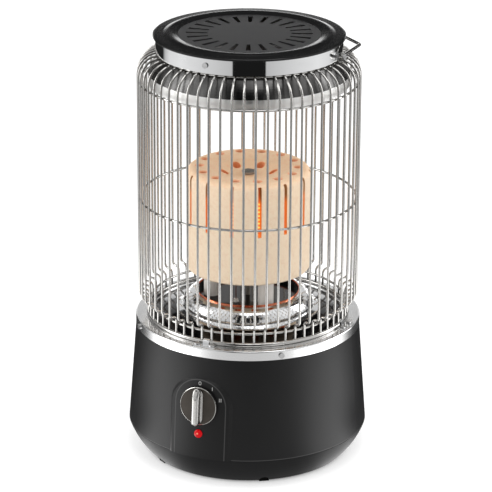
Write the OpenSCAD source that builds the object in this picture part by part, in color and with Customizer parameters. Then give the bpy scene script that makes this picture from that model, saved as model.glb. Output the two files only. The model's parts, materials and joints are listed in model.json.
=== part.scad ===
// Ceramic heater: a round mains radiant heater with glowing coils in a ceramic block and a wire guard.
// Millimetres, +Z up. The origin is on the floor under the middle of the base, and the control panel
// faces -Y. Angles around the heater are counted from -Y towards +X.

/* [Base] */
// Outer radius of the base at the seam above the bottom cover
base_r = 154.3; // [150:0.1:170]
// Outer radius of the base just under the chrome rim
base_top_r = 144.3; // [138:0.1:154]
// Height of the chrome rim's lower edge above the floor
base_h = 171; // [145:0.5:200]
// Height of the seam between the bottom cover and the base shell
seam_z = 38.5; // [32:0.5:44]
// Radius of the flat underside of the bottom cover
floor_r = 131.5; // [126:0.5:146]
// Wall thickness of the plastic shells
shell_wall = 3; // [2.4:0.1:3.6]
// Height of the feet under the bottom cover
foot_h = 2; // [1.5:0.1:4]
// Radius of a foot
foot_r = 9; // [6:0.5:12]
// Radius of the half-round notch at the lower edge in front of a foot
notch_r = 6; // [3:0.1:8]

/* [Control panel] */
// How far the panel stands proud of the base wall
panel_raise = 2.5; // [1.5:0.1:3.5]
// Half width of the panel's face
panel_half_w = 34; // [28:0.5:40]
// Height of the knob
knob_z = 108.5; // [95:0.5:118]
// Radius of the knob's disc
knob_r = 24.6; // [18:0.1:27]
// Thickness of the knob's disc at its edge
knob_disc_h = 4; // [3:0.1:6]
// Width of the knob's grip
grip_w = 9; // [7:0.1:12]
// Height of the knob's grip above the disc
grip_h = 9; // [6:0.1:12]
// Radius of the switch spindle
spindle_r = 3; // [2.5:0.1:3.5]
// Distance of the pilot lamp below the knob
lamp_drop = 37.6; // [32:0.1:42]
// Radius of the pilot lamp's neck
lamp_r = 4.7; // [3.5:0.1:5.5]

/* [Chrome rim and lower reflector] */
// Height of the rim's skirt
skirt_h = 12.5; // [8:0.5:14]
// Sheet thickness of the rim and the reflectors
sheet = 0.9; // [0.7:0.1:1.2]
// How far the rim's flat top reaches in from the middle of the guard's bottom ring
rim_ledge = 3.5; // [3:0.1:8]
// Rise of the reflector pan from its flange to the collar
pan_rise = 10.5; // [6:0.5:14]
// Radius of the round shoulder of the reflector's collar
collar_round = 17.5; // [14:0.5:19]
// Distance of the polished cup's edge outside the leads' bushes
cup_margin = 0.9; // [0.9:0.1:3]
// How far the cup's lip stands above the collar
cup_lip = 1.5; // [1:0.1:3]
// Depth of the cup
cup_depth = 10; // [8:0.5:14]

/* [Element] */
// Thickness of the ceramic block outside its outer bores
block_wall = 11.9; // [9:0.1:15]
// Height of the ceramic block at its rim
block_h = 133.5; // [115:0.5:145]
// Depth of the hollow in the block's top
block_dish = 10; // [5:0.5:12]
// Height of the posts under the block
post_h = 40.5; // [34:0.5:50]
// Radius of a post
post_r = 10; // [8:0.1:11]
// Number of bores in the outer ring of the block
outer_bores = 14; // [10:2:14]
// Radius of the outer ring of bores
outer_ring_r = 62.4; // [58:0.1:70]
// Number of bores in the inner ring of the block
inner_bores = 6; // [4:1:8]
// Radius of the inner ring of bores
inner_ring_r = 31; // [27:0.5:34]
// Radius of a bore
bore_r = 5; // [4:0.1:5.5]
// Width of the slots in the block's side
slot_w = 4; // [3:0.1:5]
// Depth of the slots' lower ends below the block's top
slot_h = 68.5; // [50:0.5:75]
// Radius of the heating wire
coil_wire_r = 0.8; // [0.6:0.05:1]
// Whole curls of the heating coil in each outer bore
coil_curls = 4; // [2:1:6]
// Radius of the tie rod
rod_r = 3; // [2.5:0.1:3.5]

/* [Guard] */
// Number of upright wires
wire_count = 60; // [44:4:68]
// Radius of an upright wire
wire_r = 1.5; // [1.1:0.1:1.9]
// Height of the upright wires above the rim
guard_h = 346; // [320:0.5:380]
// How far the wires step out above the rim
guard_step = 11.5; // [10:0.5:18]
// Bend radius of the wires' shoulders
shoulder_r = 26; // [20:0.5:30]
// Radius of the bar of the bottom ring
foot_bar_r = 2.5; // [2:0.1:3]
// Distance of the bottom ring from the rim's edge
foot_inset = 16.2; // [14.5:0.1:19]
// Height of the middle hoop above the rim
middle_hoop_h = 157; // [130:1:180]

/* [Top] */
// Height of the chrome band
band_h = 20; // [18:0.5:26]
// Thickness of the chrome band
band_t = 1.2; // [1:0.1:1.6]
// How far the top plate stands out over the band
plate_overhang = 3.3; // [2.5:0.1:4]
// Height of the upper reflector's straight lip
lip_h = 13; // [8:0.5:18]
// Number of slots in the top plate
plate_slots = 24; // [20:4:32]
// Width of a slot in the top plate at its outer end
plate_slot_w = 6.5; // [4:0.1:8]

/* [Handle] */
// Radius of the handle's wire
handle_r = 2; // [1.6:0.1:2.4]
// How far short of the grip the handle's arms start to slant in
handle_arm = 64.5; // [55:0.5:75]
// How far the grip lies past the plate's edge
handle_reach = 5.7; // [4.5:0.1:12]
// Length of the straight grip
handle_grip = 90; // [70:1:110]
// Height of the pivots above the band's lower edge
pivot_h = 6; // [5:0.1:8]

/* [Clearances] */
// Gap between faces that rest on each other
seat_gap = 0.05; // [0.02:0.01:0.1]
// Gap between pieces that slide into each other
slip_gap = 0.3; // [0.2:0.05:0.4]
// Radial clearance of turning and sliding fits
run_gap = 0.05; // [0.02:0.01:0.08]

/* [Hidden] */
$fn = 96;
// Finishes
satin_black = "#2a2a2b";
chrome_grey = "#cfd2d4";
steel_grey = "#a9abad";
enamel_black = "#17181a";
cream = "#ecd3b2";
ceramic_white = "#f1eee6";
hot_orange = "#ff8a2a";
// Base
seam_gap = 0.5;
cover_h = seam_z - seam_gap - foot_h;
floor_top = foot_h + shell_wall;
lean = atan((base_r - base_top_r) / (base_h - seam_z));
foot_angles = [33, 147, 213, 327];
foot_ring_r = floor_r - foot_r - 8;
foot_stem_r = 3;
cover_bulge = 2.2;
notch_drop = 0.7;
notch_deep = 6;
nose_z = 0.6;
lip_t = 2;
lip_reach = 5;
column_r = 6;
screw_r = 2;
screw_head_r = 4.2;
screw_head_h = 2.6;
screw_bite = 18;
// Chrome rim, reflector pan and what they sit on
rim_r = base_top_r + 0.2;
ring_r = rim_r - foot_inset;
neck_r = rim_r - sheet - slip_gap;
rim_edge = 1.8;
rim_screw_angles = spread(4, 40.5);
rim_top_z = base_h + skirt_h;
rim_screw_z = base_h + (skirt_h - rim_edge) / 2;
pan_flange_z = rim_top_z - sheet - seat_gap;
shell_top_z = pan_flange_z - sheet - seat_gap;
rim_in_r = ring_r - rim_ledge;
pan_edge = 1.5;
pan_edge_r = rim_in_r - pan_edge;
pan_flange_r = neck_r - 2;
flange_in_r = pan_edge_r + slip_gap;
ledge_drop = 20.2;
ledge_z = shell_top_z - ledge_drop;
shield_r = pan_edge_r - 2;
ledge_in_r = shield_r - 6;
column_ring_r = ledge_in_r + column_r;
shield_screw_r = shield_r - 3;
shield_t = 1.2;
shield_top_z = ledge_z + seat_gap + shield_t;
small_screw_r = 1.5;
small_head_r = 3.6;
small_head_h = 1.8;
bush_r = coil_wire_r + 2.1;
bush_h = 9;
cup_r = outer_ring_r + bush_r + cup_margin;
collar_r = cup_r + slip_gap;
collar_outer_r = collar_r + collar_round;
collar_bend = 2;
pan_top_z = pan_flange_z + pan_rise;
collar_rise = 2.5;
collar_round_z = pan_top_z + collar_rise;
collar_top_z = collar_round_z + collar_round;
cup_floor_z = collar_top_z + cup_lip - cup_depth;
pedestal_r = 51.5;
pedestal_t = 1.5;
pedestal_foot_w = 8;
cutout_place = [52, -34];
cutout_r = 8.5;
cutout_h = 9;
cutout_ear = 12;
cutout_ear_t = 1;
blade_x = 4;
blade_w = 6;
blade_t = 0.8;
blade_l = 8;
// Element
block_z = cup_floor_z + sheet + post_h;
block_top_z = block_z + block_h;
block_r = outer_ring_r + bore_r + block_wall;
block_turn = 8.2;
inner_turn = 54;
block_edge = 10;
slot_drop = 3.5;
mouth_flare = 1.1;
mouth_h = 1.8;
dish_edge = 3.4;
dish_r = outer_ring_r - bore_r - dish_edge;
dish_shoulder_r = inner_ring_r + 9;
dish_shoulder_drop = 3.2;
block_flat_r = inner_ring_r - 4;
post_ring_r = (outer_ring_r + inner_ring_r) / 2 + 0.1;
post_angle = 52.5;
coil_gap = 0.3;
coil_r = bore_r - coil_gap - coil_wire_r;
coil_top_drop = 28;
coil_top_z = block_top_z - coil_top_drop;
coil_low_drop = 3;
coil_low_z = block_top_z - slot_h - coil_low_drop;
bridge_gap = 0.7;
coil_bridge_z = block_z - coil_wire_r - bridge_gap;
coil_tail = 6;
coil_end_z = cup_floor_z - coil_tail;
leg_step = 360 / outer_bores;
rod_gap = 0.3;
washer_r = 8;
washer_t = 1.5;
top_nut_r = 9.5;
top_nut_h = 2.2;
low_nut_r = 5.8;
low_nut_h = 5;
hollow_z = block_top_z - block_dish;
// Guard
ring_z = rim_top_z + seat_gap + foot_bar_r;
guard_r = ring_r + guard_step;
guard_top_z = rim_top_z + guard_h;
step_rise = 26;
step_z = rim_top_z + step_rise;
wire_turn = 180 / wire_count;
wire_pitch = 2 * PI * ring_r / wire_count;
hoop_r = 1.5;
lower_hoop_rise = 16;
lower_hoop_z = rim_top_z + lower_hoop_rise;
middle_hoop_z = rim_top_z + middle_hoop_h;
upper_hoop_drop = 9.5;
upper_hoop_z = guard_top_z - shoulder_r - upper_hoop_drop;
top_bar_r = 2;
top_end_r = guard_r - shoulder_r - 0.5;
top_ring_r = top_end_r - top_bar_r - seat_gap;
clip_t = 1;
clip_w = 28;
strap_side = 1.05;
strap_w = wire_pitch - 2 * wire_r - 2 * strap_side;
strap_gap = 0.2;
strap_in = foot_bar_r + strap_gap;
strap_out = strap_in + clip_t;
clip_edge = 4.5;
clip_tab = foot_inset - strap_out - clip_edge;
clip_screw_x = 10;
clip_screw_r = ring_r + strap_out + clip_tab / 2;
// Top
band_z = guard_top_z + wire_r + 1;
band_top_z = band_z + band_h;
band_inset = 22.2;
band_r = guard_r - band_inset;
band_in_r = band_r - band_t;
carrier_r = band_in_r - slip_gap;
carrier_z = guard_top_z + top_bar_r + seat_gap;
carrier_top_z = band_top_z - 3;
carrier_flange_w = 10;
carrier_flange_r = top_ring_r - carrier_flange_w;
carrier_screw_r = top_ring_r - top_bar_r - 4.5;
seat_z = guard_top_z - top_bar_r - seat_gap;
reflector_seat_r = top_ring_r + top_bar_r;
lip_inset = 13;
lip_r = guard_r - lip_inset;
dish_drop = 23;
dish_bulge = 1.5;
lip_z = seat_z - dish_drop - lip_h;
vent_r = 50;
band_mid_z = band_z + band_h / 2;
band_screw_angles = [-3.5, 176.5];
plate_r = band_r + plate_overhang;
plate_t = 1.2;
plate_z = band_top_z + seat_gap;
crest_inset = 20;
crest_r = plate_r - crest_inset;
crest_rise = 4;
crest_z = plate_z + crest_rise;
bead_out = 7;
bead_foot_rise = 2.6;
recess_slope = 11;
recess_floor_r = crest_r - recess_slope;
recess_rise = 1.9;
recess_z = plate_z + recess_rise;
plate_slot_l = 27;
plate_slot_edge = 10.5;
plate_slot_out = recess_floor_r - plate_slot_edge;
plate_slot_in = plate_slot_out - plate_slot_l;
// Handle
pivot_z = band_z + pivot_h;
pin_r = 2;
spacer_r = 4.5;
eye_half = handle_r + 0.3;
handle_x = plate_r + eye_half + 1.2;
eye_r = 4.5;
bail_y = plate_r + handle_reach;
eye_joint = (pin_r + eye_r) / 2;
pivot_end_x = handle_x + eye_half + slip_gap;
pivot_head_h = 2.2;
handle_bend = 8;
// Control panel and switch
panel_arch_z = knob_z - 1;
lamp_z = knob_z - lamp_drop;
knob_lift = panel_raise + 0.5;
knob_crown = 1;
knob_top = knob_lift + knob_disc_h + knob_crown;
grip_l = 2 * knob_r + 1;
grip_corner = 2;
switch_bush_r = spindle_r + 2;
switch_seat = shell_wall + 3;
switch_size = 34;
switch_depth = 22;
spindle_low = switch_seat + switch_depth - 3;
lens_flange_r = lamp_r + 0.8;
lens_dome_h = 3;
holder_r = lamp_r + 2.3;
holder_h = 14;
holder_tail = 6;
gland_z = 62;
gland_bore_r = 4;
gland_neck_r = 7.9;
gland_in = 5;
gland_out = 10.5;
gland_flange_t = 3;
terminal_y = 98;
terminal_size = [48, 20, 16];
terminal_pitch = 15;
terminal_hole_r = 2.6;
terminal_hole_deep = 7;
// Tip-over switch
tip_place = [-62, 52, 0];
tip_travel = 6;
plunger_r = 6;
plunger_flange_r = 8;
plunger_flange_t = 2;
plunger_flange_z = floor_top + tip_travel + 0.2;
spring_z = plunger_flange_z + plunger_flange_t + seat_gap;
spring_h = 11;
stem_r = 3;
stem_h = spring_h + 6;
tip_body_z = spring_z + spring_h + seat_gap;
tip_body = [32, 18, 18];
tip_post_w = 5;

// Radius of the base's outer wall at a height
function wall_r(z) = base_r + (base_top_r - base_r) * (z - seam_z) / (base_h - seam_z);
// Point at an angle on a round stretch with two radii, counted from the +r direction
function round_point(centre, r_radius, z_radius, angle) =
  [centre.x + r_radius * cos(angle), centre.y + z_radius * sin(angle)];
function round_stretch(centre, r_radius, z_radius, from, to, steps) =
  [for (i = [0:steps]) round_point(centre, r_radius, z_radius, from + (to - from) * i / steps)];

// A stretch of an outline that swells to its right between two points
function bulged_line(from, to, bulge, steps) = let (along = unit(to - from))
  [for (i = [0:steps]) let (share = i / steps)
    from + (to - from) * share + [along.y, -along.x] * 4 * bulge * share * (1 - share)];

module lathe(outline) rotate_extrude() polygon(outline);
module round_bar(radius, bar, z) translate([0, 0, z]) rotate_extrude()
  translate([radius, 0]) circle(r = bar);
// Children drawn at -Y are repeated at these angles around the heater
module at_angles(angles) for (angle = angles) rotate([0, 0, angle]) children();
function spread(count, first) = [for (i = [0:count - 1]) first + 360 * i / count];
// Children drawn with +Z outwards are set square on the leaning wall, in front or behind
module on_front(z) translate([0, -wall_r(z), z]) rotate([90 - lean, 0, 0]) children();
module on_back(z) rotate([0, 0, 180]) on_front(z) children();
// Screw pointing down from its seat at z = 0
module down_screw(shank, head, head_h, length) {
  translate([0, 0, seat_gap]) cylinder(r = head, h = head_h);
  translate([0, 0, -length]) cylinder(r = shank, h = length + seat_gap);
}
// Screw pointing inwards through a wall at -Y
module wall_screw(radius, z, shank, head, head_h, length) translate([0, -radius, z]) rotate([90, 0, 0])
  down_screw(shank, head, head_h, length);
through = 30;
module through_hole(radius) cylinder(r = radius, h = through, center = true);
module wall_hole(radius, z, hole) translate([0, -radius, z]) rotate([90, 0, 0]) through_hole(hole);

bend_overlap = 0.25;
bend_swell = 0.02;
function turn_sign(a, b) = a.x * b.y - a.y * b.x > 0 ? 1 : -1;
function left_of(a) = [-a.y, a.x];
function unit(a) = a / norm(a);
function bend_angle(a, b) = acos(a * b);
// Round wire along flat points, bent with one radius at each inner point. The bends are a hair fuller
// than the straights, which run a little way into them.
module bent_wire(points, bends, radius) {
  last = len(points) - 1;
  dirs = [for (i = [0:last - 1]) unit(points[i + 1] - points[i])];
  trims = [for (i = [0:last]) i == 0 || i == last ? 0
    : bends[i - 1] * tan(bend_angle(dirs[i - 1], dirs[i]) / 2) - bend_overlap];
  for (i = [0:last - 1]) {
    start = points[i] + dirs[i] * trims[i];
    length = norm(points[i + 1] - points[i]) - trims[i] - trims[i + 1];
    translate([start.x, start.y, 0]) rotate([0, 0, atan2(dirs[i].y, dirs[i].x)]) rotate([0, 90, 0])
      cylinder(r = radius, h = length, $fn = 24);
  }
  for (i = [1:last - 1]) {
    side = turn_sign(dirs[i - 1], dirs[i]);
    angle = bend_angle(dirs[i - 1], dirs[i]);
    bend_start = points[i] - dirs[i - 1] * (trims[i] + bend_overlap);
    centre = bend_start + side * bends[i - 1] * left_of(dirs[i - 1]);
    from = atan2(dirs[i - 1].y, dirs[i - 1].x) - 90 * side;
    translate([centre.x, centre.y, 0]) rotate([0, 0, side > 0 ? from : from - angle])
      rotate_extrude(angle = angle) translate([bends[i - 1], 0]) circle(r = radius + bend_swell, $fn = 24);
  }
}

// Base

module rubber_feet() color("#1b1b1b") at_angles(foot_angles) {
  translate([0, -foot_ring_r, 0]) {
    cylinder(r = foot_r, h = foot_h - seat_gap);
    cylinder(r = foot_stem_r, h = floor_top);
  }
  foot_nose();
}

// The rubber that fills a foot's notch, and the strap that joins it to the foot
module foot_nose() {
  nose_in = floor_r - notch_deep + slip_gap;
  difference() {
    translate([0, -nose_in, foot_h - notch_drop]) rotate([90, 0, 0])
      cylinder(r = notch_r + notch_drop - slip_gap, h = floor_r - nose_in);
    translate([-through / 2, -nose_in - through / 2, nose_z - through]) cube(through);
  }
  translate([-foot_stem_r, -nose_in - 1, nose_z])
    cube([2 * foot_stem_r, nose_in + 1 - foot_ring_r, foot_h - seat_gap - nose_z]);
}

module bottom_cover() color(satin_black) difference() {
  cover_top_z = foot_h + cover_h;
  lip_out_r = min(base_r, wall_r(seam_z + lip_reach)) - shell_wall - slip_gap;
  lip_in_r = lip_out_r - lip_t;
  union() {
    lathe(concat([[0, floor_top], [0, foot_h]],
      bulged_line([floor_r, foot_h], [base_r, cover_top_z], cover_bulge, 9),
      [[lip_out_r, cover_top_z], [lip_out_r, seam_z + lip_reach], [lip_in_r, seam_z + lip_reach]],
      bulged_line([lip_in_r, cover_top_z], [floor_r - shell_wall, floor_top], -cover_bulge, 9)));
    at_angles(spread(4, 45)) translate([0, -column_ring_r, floor_top - 1])
      cylinder(r = column_r + 1, h = foot_h + cover_h - floor_top + 1);
    translate(tip_place) for (side = [-1, 1])
      translate([side * (tip_body.x - tip_post_w) / 2 - tip_post_w / 2, -tip_body.y / 2, floor_top - 1])
        cube([tip_post_w, tip_body.y, tip_body_z - seat_gap - floor_top + 1]);
  }
  at_angles(foot_angles) {
    translate([0, -foot_ring_r, 0]) cylinder(r = foot_stem_r + run_gap, h = floor_top + 1);
    translate([0, -floor_r + notch_deep, foot_h - notch_drop]) rotate([90, 0, 0])
      cylinder(r = notch_r + notch_drop, h = through);
  }
  at_angles(spread(4, 45)) translate([0, -column_ring_r, 0]) {
    cylinder(r = screw_r + slip_gap, h = seam_z + 10);
    cylinder(r = screw_head_r + slip_gap, h = foot_h + screw_head_h + slip_gap);
  }
  translate(tip_place) cylinder(r = plunger_r + run_gap, h = floor_top + 1);
}

module bottom_screws() color(steel_grey) at_angles(spread(4, 45))
  translate([0, -column_ring_r, foot_h + screw_head_h + slip_gap]) mirror([0, 0, 1])
    down_screw(screw_r, screw_head_r, screw_head_h - seat_gap, seam_z + screw_bite - foot_h - screw_head_h);

module base_shell() color(satin_black) difference() {
  union() {
    lathe([[base_r - shell_wall, seam_z], [base_r, seam_z], [base_top_r, base_h], [neck_r, base_h],
      [neck_r, shell_top_z], [flange_in_r, shell_top_z], [flange_in_r, shell_top_z - shell_wall],
      [neck_r - shell_wall, shell_top_z - shell_wall], [neck_r - shell_wall, ledge_z], [ledge_in_r, ledge_z],
      [ledge_in_r, ledge_z - shell_wall], [wall_r(ledge_z - shell_wall) - shell_wall, ledge_z - shell_wall]]);
    at_angles(spread(4, 45)) translate([0, -column_ring_r, seam_z])
      cylinder(r = column_r, h = ledge_z - shell_wall / 2 - seam_z);
    on_front(knob_z) translate([0, 0, -switch_seat]) cylinder(r = switch_bush_r + 9, h = switch_seat - 1);
  }
  at_angles(spread(4, 45)) translate([0, -column_ring_r, 0])
    cylinder(r = screw_r + run_gap, h = seam_z + screw_bite + 3);
  at_angles(rim_screw_angles) wall_hole(neck_r, rim_screw_z, small_screw_r + run_gap);
  at_angles(spread(4, 0)) {
    translate([0, -shield_screw_r, ledge_z]) through_hole(small_screw_r + run_gap);
    clip_screw_holes();
  }
  panel_holes();
  on_back(gland_z) through_hole(gland_neck_r + run_gap);
}
// Holes through the panel and the wall for the switch's bush and the lamp's neck
module panel_holes() {
  on_front(knob_z) through_hole(switch_bush_r + slip_gap);
  on_front(lamp_z) through_hole(lamp_r + slip_gap);
}

module control_panel() color("#242425") difference() {
  bevel_deep = 8;
  bevel_high = 4;
  half_deep = panel_half_w + panel_raise + bevel_deep;
  half_high = panel_half_w + panel_raise - bevel_high;
  intersection() {
    lathe([[wall_r(seam_z) + seat_gap, seam_z], [wall_r(seam_z) + panel_raise, seam_z],
      [wall_r(base_h) + panel_raise, base_h], [wall_r(base_h) + seat_gap, base_h]]);
    on_front(panel_arch_z) union() {
      translate([0, 0, -bevel_deep]) cylinder(r1 = half_deep, r2 = half_high, h = bevel_deep + bevel_high);
      rotate([90, 0, 0]) linear_extrude(height = panel_arch_z)
        polygon([[-half_deep, -bevel_deep], [half_deep, -bevel_deep], [half_high, bevel_high],
          [-half_high, bevel_high]]);
    }
  }
  panel_holes();
}

module cord_gland() color("#1f1f20") on_back(gland_z) rotate_extrude()
  polygon([[gland_bore_r, -shell_wall - gland_in], [gland_neck_r + 1.6, -shell_wall - gland_in],
    [gland_neck_r + 1.6, -shell_wall - 2 * slip_gap], [gland_neck_r, -shell_wall - 2 * slip_gap],
    [gland_neck_r, slip_gap], [gland_neck_r + 3, slip_gap], [gland_neck_r + 3, gland_flange_t],
    [gland_neck_r, gland_flange_t + 1.5], [gland_neck_r - 0.6, gland_out], [gland_bore_r, gland_out]]);

// Control

module rotary_switch() color("#d8d2c4") on_front(knob_z) difference() {
  union() {
    translate([-switch_size / 2, -switch_size / 2, -switch_seat - seat_gap - switch_depth])
      cube([switch_size, switch_size, switch_depth]);
    translate([0, 0, -switch_seat - 1]) cylinder(r = switch_bush_r, h = switch_seat + 1 + panel_raise / 2);
  }
  translate([0, 0, -spindle_low - slip_gap]) cylinder(r = spindle_r + run_gap, h = 2 * through);
}

module switch_spindle() color(steel_grey) on_front(knob_z) translate([0, 0, -spindle_low])
  cylinder(r = spindle_r, h = spindle_low + knob_lift + knob_disc_h - slip_gap);

module knob_disc() color("#4d4640") on_front(knob_z) translate([0, 0, knob_lift]) rotate_extrude()
  polygon([[spindle_r + run_gap, 0], [knob_r - 1.5, 0], [knob_r, 1.2], [knob_r, knob_disc_h - 0.8],
    [knob_r - 1, knob_disc_h], [0, knob_disc_h + knob_crown], [0, knob_disc_h],
    [spindle_r + run_gap, knob_disc_h]]);

module knob_grip() color("#c9c7c2") on_front(knob_z) translate([0, 0, knob_top + seat_gap])
  linear_extrude(height = grip_h) union() {
    square([grip_w - 2 * grip_corner, grip_l], center = true);
    square([grip_w, grip_l - 2 * grip_corner], center = true);
    for (x = [-1, 1], y = [-1, 1])
      translate([x * (grip_w / 2 - grip_corner), y * (grip_l / 2 - grip_corner)]) circle(r = grip_corner);
  }

module pilot_lens() color("#d2232a") on_front(lamp_z) rotate_extrude()
  polygon(concat([[0, -shell_wall], [lamp_r, -shell_wall], [lamp_r, panel_raise + seat_gap],
    [lens_flange_r, panel_raise + seat_gap]],
    round_stretch([0, panel_raise + 0.8], lens_flange_r, lens_dome_h, 0, 90, 8)));

module pilot_holder() color("#e4e0d6") on_front(lamp_z) translate([0, 0, -shell_wall - slip_gap - holder_h]) {
  cylinder(r = holder_r, h = holder_h);
  translate([0, 0, -holder_tail]) cylinder(r = holder_r / 2, h = holder_tail + 0.5);
}

// Tip-over switch

module tip_switch() color("#33363a") translate(tip_place) difference() {
  translate([-tip_body.x / 2, -tip_body.y / 2, tip_body_z]) cube(tip_body);
  translate([0, 0, tip_body_z - 1]) cylinder(r = stem_r + run_gap, h = stem_h - spring_h + 3);
}

module tip_plunger() color("#d7d9da") translate(tip_place) {
  cylinder(r = plunger_r, h = plunger_flange_z + plunger_flange_t);
  translate([0, 0, plunger_flange_z]) cylinder(r = plunger_flange_r, h = plunger_flange_t);
  translate([0, 0, plunger_flange_z]) cylinder(r = stem_r, h = plunger_flange_t + stem_h);
}

module tip_spring() color(steel_grey) translate(tip_place) translate([0, 0, spring_z]) difference() {
  cylinder(r = plunger_r, h = spring_h);
  translate([0, 0, -1]) cylinder(r = stem_r + 1.5, h = spring_h + 2);
}

module terminal_block() color("#e9e6dc") translate([0, terminal_y, floor_top + seat_gap]) difference() {
  translate([-terminal_size.x / 2, -terminal_size.y / 2, 0]) cube(terminal_size);
  for (x = [-1, 0, 1], y = [-1, 1])
    translate([x * terminal_pitch, y * terminal_size.y / 4, terminal_size.z - terminal_hole_deep])
      cylinder(r = terminal_hole_r, h = terminal_size.z);
}

// Inside the rim

module heat_shield() color(steel_grey) difference() {
  translate([0, 0, ledge_z + seat_gap]) cylinder(r = shield_r, h = shield_t);
  cylinder(r = rod_r + rod_gap, h = shell_top_z);
  at_angles(spread(4, 0)) translate([0, -shield_screw_r, ledge_z]) through_hole(small_screw_r + run_gap);
}

module shield_screws() color(steel_grey) at_angles(spread(4, 0))
  translate([0, -shield_screw_r, shield_top_z])
    down_screw(small_screw_r, small_head_r, small_head_h, shell_wall + 4);

module thermal_cutout() color("#c8c3b6") translate([cutout_place.x, cutout_place.y, ledge_z]) {
  translate([0, 0, -cutout_h]) cylinder(r = cutout_r, h = cutout_h);
  translate([-cutout_ear, -blade_w / 2, -cutout_ear_t]) cube([2 * cutout_ear, blade_w, cutout_ear_t]);
  for (side = [-1, 1])
    translate([side * blade_x - blade_t / 2, -blade_w / 2, -cutout_h - blade_l])
      cube([blade_t, blade_w, blade_l + cutout_ear_t / 2]);
}

module element_pedestal() color(steel_grey) {
  foot_z = shield_top_z + seat_gap;
  top_z = cup_floor_z - seat_gap;
  lathe([[pedestal_r - pedestal_t, foot_z], [pedestal_r + pedestal_foot_w, foot_z],
    [pedestal_r + pedestal_foot_w, foot_z + pedestal_t], [pedestal_r, foot_z + pedestal_t],
    [pedestal_r, top_z], [pedestal_r - pedestal_t, top_z]]);
}

module heater_cup() color(chrome_grey) difference() {
  lathe([[rod_r + rod_gap, cup_floor_z], [cup_r, cup_floor_z], [cup_r, cup_floor_z + cup_depth],
    [cup_r - sheet, cup_floor_z + cup_depth], [cup_r - sheet, cup_floor_z + sheet],
    [rod_r + rod_gap, cup_floor_z + sheet]]);
  for (place = all_lead_places) translate([place.x, place.y, cup_floor_z]) through_hole(bush_r + run_gap);
}

module reflector_pan() color(chrome_grey) difference() {
  bend_centre = [collar_outer_r + collar_bend, pan_top_z + collar_bend];
  bend_start = 255;
  round_centre = [collar_outer_r - collar_round, collar_round_z];
  lathe(concat(
    [[pan_flange_r, pan_flange_z - sheet], [pan_flange_r, pan_flange_z], [pan_edge_r, pan_flange_z]],
    round_stretch(bend_centre, collar_bend, collar_bend, bend_start, 180, 5),
    round_stretch(round_centre, collar_round, collar_round, 0, 90, 9),
    round_stretch(round_centre, collar_round - sheet, collar_round - sheet, 90, 0, 9),
    round_stretch(bend_centre, collar_bend + sheet, collar_bend + sheet, 180, bend_start, 5),
    [[pan_edge_r, pan_flange_z - sheet]]));
  at_angles(spread(4, 0)) clip_screw_holes();
}

module base_rim() color(chrome_grey) difference() {
  lathe(concat([[rim_in_r, rim_top_z - sheet], [rim_r - sheet, rim_top_z - sheet],
    [rim_r - sheet, base_h + seat_gap], [rim_r, base_h + seat_gap]],
    round_stretch([rim_r - rim_edge, rim_top_z - rim_edge], rim_edge, rim_edge, 0, 90, 5),
    [[rim_in_r, rim_top_z]]));
  at_angles(spread(4, 0)) clip_screw_holes();
  at_angles(rim_screw_angles) wall_hole(rim_r, rim_screw_z, small_screw_r + run_gap);
}

module rim_screws() color(steel_grey) at_angles(rim_screw_angles)
  wall_screw(rim_r, rim_screw_z, small_screw_r, small_head_r, small_head_h, 4);

// Element

function bore_angle(i) = block_turn + leg_step * i - 90;
function bore_centre(i) = outer_ring_r * [cos(bore_angle(i)), sin(bore_angle(i))];
// Where the wire meets a bore on its way from the bore before and on to the bore after
function leg_entry(i) = bore_angle(i) - 90 - leg_step / 2;
function leg_exit(i) = bore_angle(i) + 90 + leg_step / 2;
function beside_bore(i, angle) = bore_centre(i) + coil_r * [cos(angle), sin(angle)];
function at_height(point, z) = [point.x, point.y, z];
lead_places = [beside_bore(0, leg_entry(0)), beside_bore(outer_bores - 1, leg_exit(outer_bores - 1))];
// Points of the wire in one bore, up in even bores and down in odd ones
curl_rings = 8;
leg_turn = 360 * coil_curls + 180 + leg_step;
leg_rings = round(leg_turn / 360 * curl_rings);
function leg_z(i, share) = i % 2 == 0 ? coil_low_z + (coil_top_z - coil_low_z) * share
  : coil_top_z - (coil_top_z - coil_low_z) * share;
function leg_curls(i) = [for (k = [0:leg_rings])
  at_height(beside_bore(i, leg_entry(i) + leg_turn * k / leg_rings), leg_z(i, k / leg_rings))];
corner_cut = 1.5;
function towards(from, to, length) = from + unit(to - from) * length;
// The straight tail of a leg, from the bridge under the block up to the first curl
function low_tail(i, angle, other) = let (
    foot = beside_bore(i, angle),
    step = towards(foot, other, corner_cut))
  [at_height(step, coil_bridge_z), at_height(foot, coil_bridge_z + corner_cut),
    at_height(foot, coil_low_z - corner_cut)];
function reversed(list) = [for (i = [len(list) - 1:-1:0]) list[i]];
function lead(place) = [at_height(place, coil_end_z), at_height(place, coil_low_z - corner_cut)];
last_bore = outer_bores - 1;
// Each leg with its tail: the first and last end in the leads, the others in bridges to their neighbours
function tail_in(i) = i == 0 ? lead(lead_places[0])
  : low_tail(i, leg_entry(i), beside_bore(i - 1, leg_exit(i - 1)));
function tail_out(i) = reversed(i == last_bore ? lead(lead_places[1])
  : low_tail(i, leg_exit(i), beside_bore(i + 1, leg_entry(i + 1))));
function leg_path(i) = i % 2 == 0 ? concat(tail_in(i), leg_curls(i)) : concat(leg_curls(i), tail_out(i));
coil_path = [for (i = [0:last_bore]) each leg_path(i)];
coil_sides = 6;

function path_tangent(path, i) = unit(path[min(i + 1, len(path) - 1)] - path[max(i - 1, 0)]);
function square_to(v, t) = unit(v - t * (v * t));
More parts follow.
